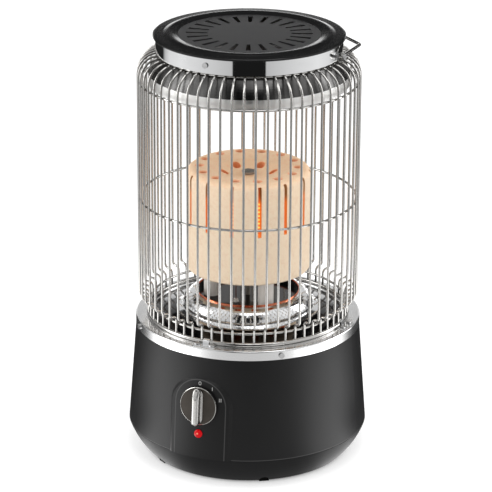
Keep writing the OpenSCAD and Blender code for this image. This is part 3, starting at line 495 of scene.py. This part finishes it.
def ceramic_cream(name):
    """Unglazed cream ceramic with painted orange glow and shade inside its bores and slots and a painted
    warm light towards its top.
    """
    material, finish = new_finish(name)
    place = finish.place()
    across = finish.parts(place)
    height = across[2]
    cloud = finish.noise(place, scale=26, detail=4)
    grit = finish.noise(place, scale=700)
    pores = finish.smooth(finish.noise(place, scale=1500, detail=2), 0.62, 0.72)
    mottle = finish.smooth(finish.noise(place, scale=190, detail=5, roughness=0.7), 0.45, 0.7)
    body = finish.mix(cloud, (0.88, 0.695, 0.505), (0.94, 0.775, 0.585))
    body = finish.mix(mottle * 0.5, body, (0.8, 0.55, 0.36))
    body = finish.mix(pores * 0.3, body, (0.55, 0.38, 0.24))
    out, beside = bore_axes(finish, across, BORES, BORE_RING_R, BLOCK_TURN)
    outer_reach = finish.length(out, beside)
    inner_reach = finish.length(*bore_axes(finish, across, INNER_BORES, INNER_RING_R, INNER_TURN))
    bore_reach = finish.math("MINIMUM", outer_reach, inner_reach)
    in_bore = 1 - finish.smooth(bore_reach, BORE_R + 0.2 * MM, BORE_R + 1.7 * MM)
    in_slot = slot_mask(finish, out, beside, height)
    # The glow in the bores and slots is painted light from the coil, strongest in the slots and where
    # the coil lies.
    fade = 1 - finish.smooth(out, 0, BLOCK_WALL + BORE_R + 4 * MM) * 0.55
    deep = 1 - finish.smooth(height, coil_top_z, coil_top_z + GLOW_FADE)
    heat = finish.math("MAXIMUM", in_bore * deep * 0.1, in_slot * deep * fade * 0.65)
    # Bore and slot walls get painted shade and glow: darker and redder deep in the bores, orange beside
    # the coil in the slots.
    mouth = finish.smooth(height, block_top_z - 6 * MM, block_top_z - 1 * MM)
    bore_tone = finish.mix(mouth, (0.76, 0.31, 0.16), (0.82, 0.45, 0.3))
    slot_tone = finish.mix(deep, (0.46, 0.26, 0.12), (0.58, 0.22, 0.07))
    # Upward faces and the upper part get a painted warm light in the emission.
    facing_up = finish.smooth(finish.parts(finish.normal())[2], 0.1, 0.7)
    upper = finish.smooth(height, block_top_z - TOP_LIGHT_H, block_top_z)
    top_light_share = finish.math("MAXIMUM", facing_up, upper * 0.3)
    painted_top_light = finish.mix(top_light_share, BLACK, (0.27, 0.1, 0.012))
    finish.surface(
        Base_Color=finish.mix(in_slot, finish.mix(in_bore, body, bore_tone), slot_tone),
        Roughness=0.82 + (grit - 0.5) * 0.2,
        Normal=finish.bump(grit, strength=0.2, distance=0.3 * MM),
        Emission_Color=finish.mix(heat, painted_top_light, (1.0, 0.24, 0.035)),
        Emission_Strength=0.7,
    )
    return material


def ceramic_white(name):
    """White ceramic with a slight gloss."""
    material, finish = new_finish(name)
    place = finish.place()
    cloud = finish.noise(place, scale=120)
    finish.surface(
        Base_Color=finish.mix(cloud, (0.78, 0.75, 0.7), (0.86, 0.84, 0.8)),
        Roughness=0.35 + cloud * 0.15,
        Normal=finish.bump(finish.noise(place, scale=900, detail=2), strength=0.1, distance=0.2 * MM),
    )
    return material


def coil_glow(name):
    """Hot wire, yellow where it curls and dull red at its tails."""
    material, finish = new_finish(name)
    place = finish.place()
    height = finish.parts(place)[2]
    flicker = finish.smooth(finish.noise(place, scale=220, detail=2), 0.3, 0.7)
    hot = finish.smooth(height, coil_low_z - 30 * MM, coil_low_z + 2 * MM)
    glow = finish.mix(flicker, (1.0, 0.42, 0.05), (1.0, 0.78, 0.2))
    finish.surface(
        Base_Color=finish.mix(hot, (0.1, 0.07, 0.06), (0.35, 0.12, 0.05)),
        Roughness=0.5 + flicker * 0.2,
        Emission_Color=finish.mix(hot, (0.012, 0.002, 0.0), glow),
        Emission_Strength=1.3,
    )
    return material


def enamel_black(name):
    """Satin black enamel with a slight orange peel, greyer in the recess."""
    material, finish = new_finish(name)
    place = finish.place()
    recess = 1 - finish.smooth(radius_of(finish, place), RECESS_R - 1 * MM, RECESS_R + 1 * MM)
    black = finish.mix(recess, (0.006, 0.006, 0.0062), (0.02, 0.02, 0.0205))
    peel = finish.noise(place, scale=420, detail=2)
    cloud = finish.noise(place, scale=30)
    finish.surface(
        Base_Color=finish.mix(cloud * 0.25, black, (0.014, 0.014, 0.0143)),
        Roughness=0.15 + recess * 0.16 + cloud * 0.04,
        Specular_IOR_Level=0.28,
        Normal=finish.bump(peel, strength=0.03, distance=0.2 * MM),
    )
    return material


def knob_bronze(name):
    """Dark spun bronze disc with a bright turned edge."""
    material, finish = new_finish(name)
    place = finish.place()
    radius = finish.distance(place, knob_centre)
    spun = finish.noise(radius, scale=5000, detail=1)
    cloud = finish.noise(place, scale=70)
    edge = finish.smooth(radius, KNOB_R + 0.1 * MM, KNOB_R + 0.5 * MM)
    face = finish.mix(cloud, (0.036, 0.031, 0.026), (0.062, 0.054, 0.046))
    finish.surface(
        Base_Color=finish.mix(edge, face, (0.62, 0.61, 0.58)),
        Metallic=0.75 + edge * 0.25,
        Roughness=0.36 + (spun - 0.5) * 0.1 - edge * 0.12,
    )
    return material


def knob_silver(name):
    """Satin silver with brush marks along the grip."""
    material, finish = new_finish(name)
    brush = finish.noise(finish.stretch(finish.place(), (1, 1, 0.03)), scale=1800)
    finish.surface(
        Base_Color=finish.mix(brush, (0.46, 0.45, 0.43), (0.64, 0.63, 0.61)),
        Metallic=1.0,
        Roughness=0.22 + brush * 0.12,
        Normal=finish.bump(brush, strength=0.06, distance=0.1 * MM),
    )
    return material


def red_lens(name):
    """Lit red lens with a pale hot core."""
    material, finish = new_finish(name)
    place = finish.place()
    core = 1 - finish.smooth(finish.distance(place, lens_core), CORE_IN, CORE_OUT)
    facet = finish.noise(place, scale=500, detail=2)
    finish.surface(
        Base_Color=finish.mix(facet, (0.34, 0.001, 0.003), (0.5, 0.002, 0.005)),
        Roughness=0.1 + facet * 0.05,
        Specular_IOR_Level=0.2,
        Emission_Color=finish.mix(core, (0.2, 0.0, 0.001), (1.0, 0.72, 0.42)),
        Emission_Strength=1.0,
    )
    return material


def burnt_steel(name):
    """Steel that the heat has browned."""
    material, finish = new_finish(name)
    cloud = finish.noise(finish.place(), scale=160)
    finish.surface(
        Base_Color=finish.mix(cloud, (0.26, 0.24, 0.21), (0.38, 0.35, 0.31)),
        Metallic=0.6,
        Roughness=0.45 + cloud * 0.15,
    )
    return material


def painted_mark(name, tone):
    """Paint of the dial's marks, a little worn."""
    material, finish = new_finish(name)
    wear = finish.noise(finish.place(), scale=800)
    finish.surface(
        Base_Color=finish.mix(wear, dimmed(tone, 0.85), tone),
        Roughness=0.45 + wear * 0.15,
    )
    return material


finishes = {
    "rubber_black": rubber("rubber_black_finish"),
    "satin_black": moulded_plastic("satin_black_finish", SATIN_DARK, SATIN_PALE,
                                   roughness=0.36, grain=0.12, gloss=0.25),
    # The panel's bevel gets a painted highlight.
    "panel_black": moulded_plastic("panel_black_finish", (0.005, 0.005, 0.0052), (0.008, 0.008, 0.0082),
                                   roughness=0.4, grain=0.08, gloss=0.24,
                                   edge=panel_bevel_highlight, edge_highlight_tone=grey(0.045)),
    "switch_plastic": moulded_plastic("switch_plastic_finish", (0.5, 0.47, 0.4), (0.62, 0.59, 0.52),
                                      roughness=0.5, grain=0.1),
    "knob_bronze": knob_bronze("knob_bronze_finish"),
    "knob_silver": knob_silver("knob_silver_finish"),
    "red_lens": red_lens("red_lens_finish"),
    "lamp_white": moulded_plastic("lamp_white_finish", (0.66, 0.64, 0.58), (0.78, 0.76, 0.7),
                                  roughness=0.45, grain=0.06),
    "zinc_steel": zinc_steel("zinc_steel_finish"),
    "chrome": chrome("chrome_finish"),
    "guard_steel": guard_steel("guard_steel_finish"),
    "ceramic_cream": ceramic_cream("ceramic_cream_finish"),
    "ceramic_white": ceramic_white("ceramic_white_finish"),
    "coil_glow": coil_glow("coil_glow_finish"),
    "enamel_black": enamel_black("enamel_black_finish"),
}
burnt = burnt_steel("burnt_steel_finish")
special_finishes = {
    "upper_reflector": reflector_chrome("heated_chrome_finish"),
    "heater_cup": cup_chrome("cup_chrome_finish"),
    "reflector_pan": pan_chrome("pan_chrome_finish"),
    "base_rim": satin_chrome("satin_chrome_finish"),
    "bottom_cover": moulded_plastic("cover_black_finish",
                                    (0.012, 0.012, 0.0124), (0.017, 0.017, 0.0174),
                                    roughness=0.45, grain=0.12, gloss=0.06),
    # The shell's lower edge gets a painted highlight.
    "base_shell": moulded_plastic("shell_black_finish", SATIN_DARK, SATIN_PALE,
                                  roughness=0.36, grain=0.12, gloss=0.25,
                                  edge=seam_highlight, edge_highlight_tone=grey(0.05)),
    "tie_nuts": burnt,
    "tie_washer": burnt,
    "tie_rod": burnt,
    "plate_carrier": burnt,
}


def wear_finish(piece, material):
    if piece.material_slots:
        for material_slot in piece.material_slots:
            material_slot.material = material
    else:
        piece.data.materials.append(material)


for subpart in frame["record"]["subparts"]:
    node = frame["nodes"][subpart["node"]]
    wear_finish(node, special_finishes.get(subpart["node"], finishes[subpart["material_slot"]]))


# Pieces that the scene adds, each from its points and faces

def add_piece(name, shape, slot, body, material=None, smooth=True):
    points, faces = shape
    mesh = bpy.data.meshes.new(name)
    mesh.from_pydata([tuple(point) for point in points], [], faces)
    mesh.validate()
    mesh.update()
    for face in mesh.polygons:
        face.use_smooth = smooth
    piece = bpy.data.objects.new(name, mesh)
    scene.collection.objects.link(piece)
    mesh.materials.append(material or finishes[slot])
    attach(piece, body)
    return piece


def round_angles(count):
    """Even angles round a whole turn."""
    return [2 * math.pi * k / count for k in range(count)]


def skin(rings, looped=False):
    """A closed skin over rings of equal count, with flat ends or looped back to the first ring."""
    count = len(rings[0])
    points = [point for ring in rings for point in ring]
    faces = []
    for index in range(len(rings) if looped else len(rings) - 1):
        here = index * count
        there = (index + 1) % len(rings) * count
        for k in range(count):
            n = (k + 1) % count
            faces.append((here + k, here + n, there + n, there + k))
    if not looped:
        faces.append(tuple(range(count - 1, -1, -1)))
        faces.append(tuple(range(len(points) - count, len(points))))
    return points, faces


def tube(path, radius, sides):
    """A tube along a path, with frames that turn as little as they can."""
    rings = []
    normal = Vector((1, 0.3, 0.1))
    for index, point in enumerate(path):
        ahead = path[min(index + 1, len(path) - 1)]
        behind = path[max(index - 1, 0)]
        tangent = (ahead - behind).normalized()
        normal = (normal - tangent * normal.dot(tangent)).normalized()
        side = tangent.cross(normal)
        rings.append([point + (normal * math.cos(angle) + side * math.sin(angle)) * radius
                      for angle in round_angles(sides)])
    return skin(rings)


def joined(*shapes):
    points, faces = [], []
    for part_points, part_faces in shapes:
        start = len(points)
        points += part_points
        faces += [tuple(start + index for index in face) for face in part_faces]
    return points, faces


# Outer coil: one wire that curls up one bore and down the next, all round the block

OUTER_CURLS = 8
OUTER_SIDES = 8
CURL_RINGS = 14
CORNER_CUT = 1.5 * MM
leg_step = 360 / BORES
leg_turn = 360 * OUTER_CURLS + 180 + leg_step
leg_rings = round(leg_turn / 360 * CURL_RINGS)


def bore_angle(bore):
    return BLOCK_TURN + leg_step * bore - 90


def beside_bore(bore, angle, z):
    """A point of the coil in a bore."""
    middle = math.radians(bore_angle(bore))
    turned = math.radians(angle)
    return Vector((BORE_RING_R * math.cos(middle) + coil_r * math.cos(turned),
                   BORE_RING_R * math.sin(middle) + coil_r * math.sin(turned), z))


def leg_entry(bore):
    return bore_angle(bore) - 90 - leg_step / 2


def leg_exit(bore):
    return bore_angle(bore) + 90 + leg_step / 2


def leg_curls(bore):
    rise = coil_top_z - coil_low_z
    curls = []
    for ring in range(leg_rings + 1):
        share = ring / leg_rings
        z = coil_low_z + rise * (share if bore % 2 == 0 else 1 - share)
        curls.append(beside_bore(bore, leg_entry(bore) + leg_turn * share, z))
    return curls


def low_tail(bore, angle, other):
    """The straight tail of a leg, from the bridge under the block up to the first curl."""
    foot = beside_bore(bore, angle, coil_bridge_z)
    step = foot + (other - foot).normalized() * CORNER_CUT
    return [step, beside_bore(bore, angle, coil_bridge_z + CORNER_CUT),
            beside_bore(bore, angle, coil_low_z - CORNER_CUT)]


def lead(bore, angle):
    """The straight end of the wire, from under the cup up to the first curl."""
    return [beside_bore(bore, angle, coil_end_z), beside_bore(bore, angle, coil_low_z - CORNER_CUT)]


def tail_in(bore):
    if bore == 0:
        return lead(bore, leg_entry(bore))
    other = beside_bore(bore - 1, leg_exit(bore - 1), coil_bridge_z)
    return low_tail(bore, leg_entry(bore), other)


def tail_out(bore):
    if bore == BORES - 1:
        return reversed(lead(bore, leg_exit(bore)))
    other = beside_bore(bore + 1, leg_entry(bore + 1), coil_bridge_z)
    return reversed(low_tail(bore, leg_exit(bore), other))


def outer_coil_path():
    path = []
    for bore in range(BORES):
        if bore % 2 == 0:
            path += [*tail_in(bore), *leg_curls(bore)]
        else:
            path += [*leg_curls(bore), *tail_out(bore)]
    return path


outer_wire = tube(outer_coil_path(), COIL_WIRE_R, OUTER_SIDES)
glowing_coil = add_piece("glowing_coil", outer_wire, "coil_glow", "base")
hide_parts("heating_coil_outer")


# Inner coils: a curl in each inner bore, on one bridge wire under the block

INNER_CURLS = 15
INNER_SIDES = 7
INNER_RINGS = 12
INNER_STEM = 2 * MM
INNER_FOOT = 4 * MM
BRIDGE_STEPS = 60


def inner_bore_angle(bore):
    return math.radians(INNER_TURN + 360 * bore / INNER_BORES - 90)


def inner_ring_point(angle, z, reach=0.0, turned=0.0):
    return Vector((INNER_RING_R * math.cos(angle) + reach * math.cos(turned),
                   INNER_RING_R * math.sin(angle) + reach * math.sin(turned), z))


def inner_curl_path(bore):
    angle = inner_bore_angle(bore)
    foot_z = coil_bridge_z + INNER_FOOT
    path = [inner_ring_point(angle, coil_bridge_z), inner_ring_point(angle, coil_bridge_z + INNER_STEM)]
    rings = INNER_CURLS * INNER_RINGS
    for ring in range(rings + 1):
        share = ring / rings
        z = foot_z + (coil_top_z - foot_z) * share
        reach = coil_r * min(1, ring / INNER_RINGS)
        path.append(inner_ring_point(angle, z, reach, 2 * math.pi * INNER_CURLS * share))
    return path


def inner_bridge_path():
    first, last = inner_bore_angle(0), inner_bore_angle(INNER_BORES - 1)
    angles = [first + (last - first) * k / BRIDGE_STEPS for k in range(BRIDGE_STEPS + 1)]
    arc = [inner_ring_point(angle, coil_bridge_z) for angle in angles]
    return [inner_ring_point(first, coil_end_z), *arc, inner_ring_point(last, coil_end_z)]


inner_paths = [inner_curl_path(bore) for bore in range(INNER_BORES)] + [inner_bridge_path()]
inner_wires = [tube(path, COIL_WIRE_R, INNER_SIDES) for path in inner_paths]
inner_coils = add_piece("inner_coils", joined(*inner_wires), "coil_glow", "base")
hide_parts("heating_coil_inner")


# Knob bar: a rounded bar with a foot flange, a slanted upper end, a pointer dot and a ring.
# Its section (half width and height), its stations and the lengths after them are in millimetres.

BAR_SEAT = 8.05 * MM
BAR_TOP = 9 * MM
GRIP_RING_R = 1.35 * MM
GRIP_RING_BAR = 0.3 * MM
GRIP_DOT_R = 1.0 * MM
bar_section = [(6.9, -1.05), (6.9, 0.35), (6.5, 0.6), (5.6, 0.9), (4.95, 1.6), (4.65, 2.6), (4.5, 4.2),
               (4.4, 6.4), (4.15, 7.6), (3.6, 8.5), (2.7, 8.9), (1.4, 9.0)]
bar_stations = [-24, -23.85, -23.4, -22.6, -21.4, -19.6, -17, -12, -6, 0, 6, 11, 14, 15.5, 17, 18.5, 20,
                21.4, 22.6, 23.4, 23.85, 24]
BAR_HALF = 24
BAR_CORNER = 4.0
BAR_HALF_W = 4.6
FLANGE_H = 1
FLANGE_FROM = 17
FLANGE_TO = 22
SLANT_FROM = 13.5
ROUND_FROM = 21
DOT_UP = 21.9
RING_UP = 11.5
END_SHARE = 0.3
SLANT_LOSS = 0.42
ROUND_LOSS = 0.3


def on_knob(across, up, out):
    """A point on the knob, from its axis across, up along the wall and out of it."""
    return knob_centre + Vector((across, 0, 0)) + front_up * up + front_out * (BAR_SEAT + out)


def ease(value, low, high):
    share = min(1, max(0, (value - low) / (high - low)))
    return share * share * (3 - 2 * share)


def bar_height(station):
    """Share of the bar's height along its length: a slant at the upper end and a round lower end."""
    slant = 1 - SLANT_LOSS * ease(station, SLANT_FROM, BAR_HALF)
    round_end = 1 - ROUND_LOSS * ease(-station, ROUND_FROM, BAR_HALF)
    return slant * round_end


def bar_ring(station):
    over = max(0, abs(station) - (BAR_HALF - BAR_CORNER)) / BAR_CORNER
    narrow = max(END_SHARE, math.sqrt(max(0, 1 - over * over)))
    flange = 1 - ease(abs(station), FLANGE_FROM, FLANGE_TO)
    half = []
    for x, h in bar_section:
        wide = min(x, BAR_HALF_W) + max(0, x - BAR_HALF_W) * flange
        half.append((wide * narrow, h if h < FLANGE_H else h * bar_height(station)))
    whole = half + [(-x, h) for x, h in reversed(half)]
    return [on_knob(x * MM, station * MM, h * MM) for x, h in whole]


bar_skin = skin([bar_ring(station) for station in bar_stations])
knob_bar = add_piece("knob_bar", bar_skin, "knob_silver", "knob")
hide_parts("knob_grip")


def ring_inlay(up, out, radius, bar):
    """A fine round ring that lies half sunk in the bar."""
    steps, sides = 28, 8
    rings = []
    for angle in round_angles(steps):
        ring = []
        for turn in round_angles(sides):
            reach = radius + bar * math.cos(turn)
            depth = bar * math.sin(turn)
            ring.append(on_knob(reach * math.cos(angle), up + reach * math.sin(angle), out - depth))
        rings.append(ring)
    return skin(rings, looped=True)


def dot_inlay(up, out, radius):
    """A low domed dot on the bar's slanted end."""
    steps = 20
    profile = ((radius, -0.4 * MM), (radius, 0.1 * MM), (radius * 0.7, 0.25 * MM))
    return skin([[on_knob(reach * math.cos(angle), up + reach * math.sin(angle), out + lift)
                  for angle in round_angles(steps)] for reach, lift in profile])


grip_ring = ring_inlay(RING_UP * MM, BAR_TOP, GRIP_RING_R, GRIP_RING_BAR)
grip_dot = dot_inlay(DOT_UP * MM, BAR_TOP * bar_height(DOT_UP), GRIP_DOT_R)
add_piece("grip_ring", grip_ring, "knob_bronze", "knob")
add_piece("grip_dot", grip_dot, "panel_black", "knob")


# Dial marks on the panel: off, low and full, at their turns in degrees

MARK_R = 29.2 * MM
MARK_LIFT = 0.12 * MM
MARK_SINK = 0.15 * MM
MARK_H = 4.6 * MM
STROKE = 0.8 * MM
STROKE_APART = 1.1 * MM
OVAL_IN = (1.25 * MM, 1.75 * MM)
OVAL_OUT = (2.0 * MM, 2.5 * MM)
OFF_TURN = 0
LOW_TURN = 35
FULL_TURN = 70


def on_panel(across, up, lift):
    """A point over the panel's curved face, from the knob's centre across and up."""
    z = KNOB_Z + up * math.cos(LEAN)
    radius = wall_r(z) + PANEL_RAISE + lift
    angle = across / radius
    return Vector((radius * math.sin(angle), -radius * math.cos(angle), z))


def lifted(outline, lift):
    return [on_panel(across, up, lift) for across, up in outline]


def raised_strip(outline_in, outline_out):
    """A thin raised ring between two outlines on the panel."""
    return skin([lifted(outline_in, -MARK_SINK), lifted(outline_out, -MARK_SINK),
                 lifted(outline_out, MARK_LIFT), lifted(outline_in, MARK_LIFT)], looped=True)


def stroke_mark(middle_across, middle_up):
    """A thin raised upright bar on the panel."""
    corners = [(middle_across + x * STROKE / 2, middle_up + y * MARK_H / 2)
               for x, y in ((-1, -1), (1, -1), (1, 1), (-1, 1))]
    return skin([lifted(corners, -MARK_SINK), lifted(corners, MARK_LIFT)])


def oval(middle_across, middle_up, half_w, half_h, count=28):
    return [(middle_across + half_w * math.cos(angle), middle_up + half_h * math.sin(angle))
            for angle in round_angles(count)]


def mark_place(turn):
    return MARK_R * math.sin(math.radians(turn)), MARK_R * math.cos(math.radians(turn))


off_place = mark_place(OFF_TURN)
full_x, full_y = mark_place(FULL_TURN)
add_piece(
    "dial_marks",
    joined(
        raised_strip(oval(*off_place, *OVAL_IN), oval(*off_place, *OVAL_OUT)),
        stroke_mark(*mark_place(LOW_TURN)),
        stroke_mark(full_x - STROKE_APART, full_y),
        stroke_mark(full_x + STROKE_APART, full_y),
    ),
    "knob_silver", "base", painted_mark("dial_paint_finish", (0.42, 0.42, 0.41)), smooth=False)


# Stage: pale floor, soft light, and the studio that the metal mirrors.
# The ramps hold bearings from the camera's side and grey levels; reaches are in metres from the axis.

FLOOR_HALF = 14
FLOOR_PEAK = 3.6
CLOSE_REACH = (0.3, 0.42)
NEAR_REACH = (0.8, 0.9)
FOOT_REACH = (0.12, 0.137)
LOW_WALL_RISE = (0.14, 0.24)
CEILING_RISE = (0.94, 0.99)
CEILING_TONE = 0.75
PAPER_TONE = 0.62
PAPER_LIFT = 0.5
MIRRORED_FLOOR = 0.9
MIRRORED_WALLS = 0.95
CLOTH_TONE = 0.03
LAMP_AIM = Vector((0, 0, 0.3))


def bearings(*stops):
    """Ramp stops from pairs of a bearing in degrees and a grey level."""
    return [(bearing / 180, grey(level)) for bearing, level in stops]


LOW_WALL = bearings((0, 0.012), (19, 0.012), (20, 0.5), (63, 0.75), (88, 1.0), (104, 0.7), (120, 0.1),
                    (150, 0.03), (156, 2.0), (180, 2.0))
HIGH_WALL = bearings((0, 0.012), (25, 0.012), (31, 0.55), (60, 0.85), (80, 1.0), (110, 1.0), (128, 0.3),
                     (142, 0.68), (180, 0.68))
FAR_FLOOR = bearings((0, 0.012), (19, 0.012), (20, 0.62), (63, 0.88), (90, 1.0), (112, 0.9), (122, 0.6),
                     (128, 0.02), (180, 0.02))
NEAR_FLOOR = bearings((0, 0.21), (30, 0.22), (44, 0.35), (56, 0.85), (68, 1.0), (86, 1.0), (100, 0.35),
                      (113, 0.06), (126, 0.015), (160, 0.015), (170, 0.2), (180, 0.2))
CLOSE_FLOOR = bearings((0, 0.21), (30, 0.22), (40, 0.4), (50, 0.9), (58, 1.0), (74, 0.95), (84, 0.3),
                       (95, 0.04), (130, 0.01), (180, 0.01))


def bearing_from_camera(finish, x, y):
    """How far round from the camera's side a point lies, from 0 to 1 for half a turn either way."""
    turn = finish.math("ARCTAN2", x, -1 * y) - VIEW_TURN
    folded = finish.math("ARCTAN2", finish.math("SINE", turn), finish.math("COSINE", turn))
    return finish.math("ABSOLUTE", folded) / math.pi


def ramp(finish, stops, share):
    return finish.add("ShaderNodeValToRGB", {"stops": stops}, {"Fac": share})


def is_ray(finish, kind):
    return finish.add("ShaderNodeLightPath", output="Is " + kind + " Ray")


def mixed_shader(finish, share, first, second):
    return finish.add("ShaderNodeMixShader", None, {0: share, 1: first, 2: second})


def pale_floor():
    """White paper under the heater, on which mirrored rays meet the greys of a studio's floor."""
    mesh = bpy.data.meshes.new("floor")
    mesh.from_pydata([(-FLOOR_HALF, -FLOOR_HALF, 0), (FLOOR_HALF, -FLOOR_HALF, 0),
                      (FLOOR_HALF, FLOOR_HALF, 0), (-FLOOR_HALF, FLOOR_HALF, 0)], [], [(0, 1, 2, 3)])
    floor = bpy.data.objects.new("floor", mesh)
    scene.collection.objects.link(floor)
    material, paper = new_finish("floor_finish")
    x, y, _ = paper.parts(paper.place())
    bearing = bearing_from_camera(paper, x, y)
    reach = paper.length(x, y)
    near_tone = paper.mix(paper.smooth(reach, *CLOSE_REACH), ramp(paper, CLOSE_FLOOR, bearing),
                          ramp(paper, NEAR_FLOOR, bearing))
    near_tone = paper.stretch(near_tone, grey(FLOOR_PEAK))
    tone = paper.mix(paper.smooth(reach, *NEAR_REACH), near_tone, ramp(paper, FAR_FLOOR, bearing))
    # The lift fades out under the heater: a painted shadow where it stands.
    white = paper.mix(paper.smooth(reach, *FOOT_REACH), BLACK, grey(1.0))
    matt = paper.add("ShaderNodeBsdfDiffuse", None, {"Color": grey(PAPER_TONE)})
    lift = paper.add("ShaderNodeEmission", None, {"Color": white, "Strength": PAPER_LIFT})
    lifted_matt = paper.add("ShaderNodeAddShader", None, {0: matt, 1: lift})
    mirrored = paper.add("ShaderNodeEmission", None, {"Color": tone, "Strength": MIRRORED_FLOOR})
    seen = paper.math("MAXIMUM", is_ray(paper, "Camera"), is_ray(paper, "Transmission"))
    plain = mixed_shader(paper, seen, matt, lifted_matt)
    whole = mixed_shader(paper, is_ray(paper, "Glossy"), plain, mirrored)
    paper.add("ShaderNodeOutputMaterial", None, {"Surface": whole})
    mesh.materials.append(material)


def studio_sky():
    """White light all round, in which mirrored rays meet the greys of a studio's walls."""
    world = bpy.data.worlds.new("studio")
    scene.world = world
    world.use_nodes = True
    sky = Finish(world.node_tree)
    x, y, z = sky.parts(sky.add("ShaderNodeTexCoord", output="Generated"))
    bearing = bearing_from_camera(sky, x, y)
    tone = sky.mix(sky.smooth(z, *LOW_WALL_RISE), ramp(sky, LOW_WALL, bearing),
                   ramp(sky, HIGH_WALL, bearing))
    tone = sky.mix(sky.smooth(z, *CEILING_RISE), tone, grey(CEILING_TONE))
    white = sky.add("ShaderNodeBackground", None, {"Color": grey(1.0), "Strength": 1.0})
    walls = sky.add("ShaderNodeBackground", None, {"Color": tone, "Strength": MIRRORED_WALLS})
    whole = mixed_shader(sky, is_ray(sky, "Glossy"), white, walls)
    sky.add("ShaderNodeOutputWorld", None, {"Surface": whole})


def softbox(name, turn, distance, height, width, tall, power):
    """A soft lamp beside the heater, at a bearing from the camera's side."""
    lamp = bpy.data.lights.new(name, "AREA")
    lamp.shape = "RECTANGLE"
    lamp.size = width
    lamp.size_y = tall
    lamp.energy = power
    holder = bpy.data.objects.new(name, lamp)
    scene.collection.objects.link(holder)
    bearing = VIEW_TURN + math.radians(turn)
    holder.location = (distance * math.sin(bearing), -distance * math.cos(bearing), height)
    holder.rotation_euler = (LAMP_AIM - holder.location).to_track_quat("-Z", "Y").to_euler()


def dark_panel(name, reach, from_turn, to_turn, low, high):
    """A curved dark panel behind the heater, which only mirrored rays meet."""
    steps = 24
    points = []
    for k in range(steps + 1):
        bearing = VIEW_TURN + math.radians(from_turn + (to_turn - from_turn) * k / steps)
        points += [(reach * math.sin(bearing), -reach * math.cos(bearing), z) for z in (low, high)]
    faces = [(2 * k, 2 * k + 2, 2 * k + 3, 2 * k + 1) for k in range(steps)]
    mesh = bpy.data.meshes.new(name)
    mesh.from_pydata(points, [], faces)
    panel = bpy.data.objects.new(name, mesh)
    scene.collection.objects.link(panel)
    material, cloth = new_finish(name + "_finish")
    glow = cloth.add("ShaderNodeEmission", None, {"Color": grey(CLOTH_TONE), "Strength": 1.0})
    cloth.add("ShaderNodeOutputMaterial", None, {"Surface": glow})
    mesh.materials.append(material)
    panel.visible_camera = False
    panel.visible_diffuse = False
    panel.visible_transmission = False
    panel.visible_shadow = False


pale_floor()
studio_sky()
softbox("left_softbox", turn=-88, distance=1.7, height=0.8, width=0.7, tall=1.4, power=12)
softbox("right_softbox", turn=108, distance=1.7, height=0.8, width=0.7, tall=1.4, power=12)
softbox("top_softbox", turn=20, distance=0.8, height=2.0, width=1.2, tall=1.2, power=10)
dark_panel("back_panel", reach=1.1, from_turn=120, to_turn=240, low=0.72, high=1.9)
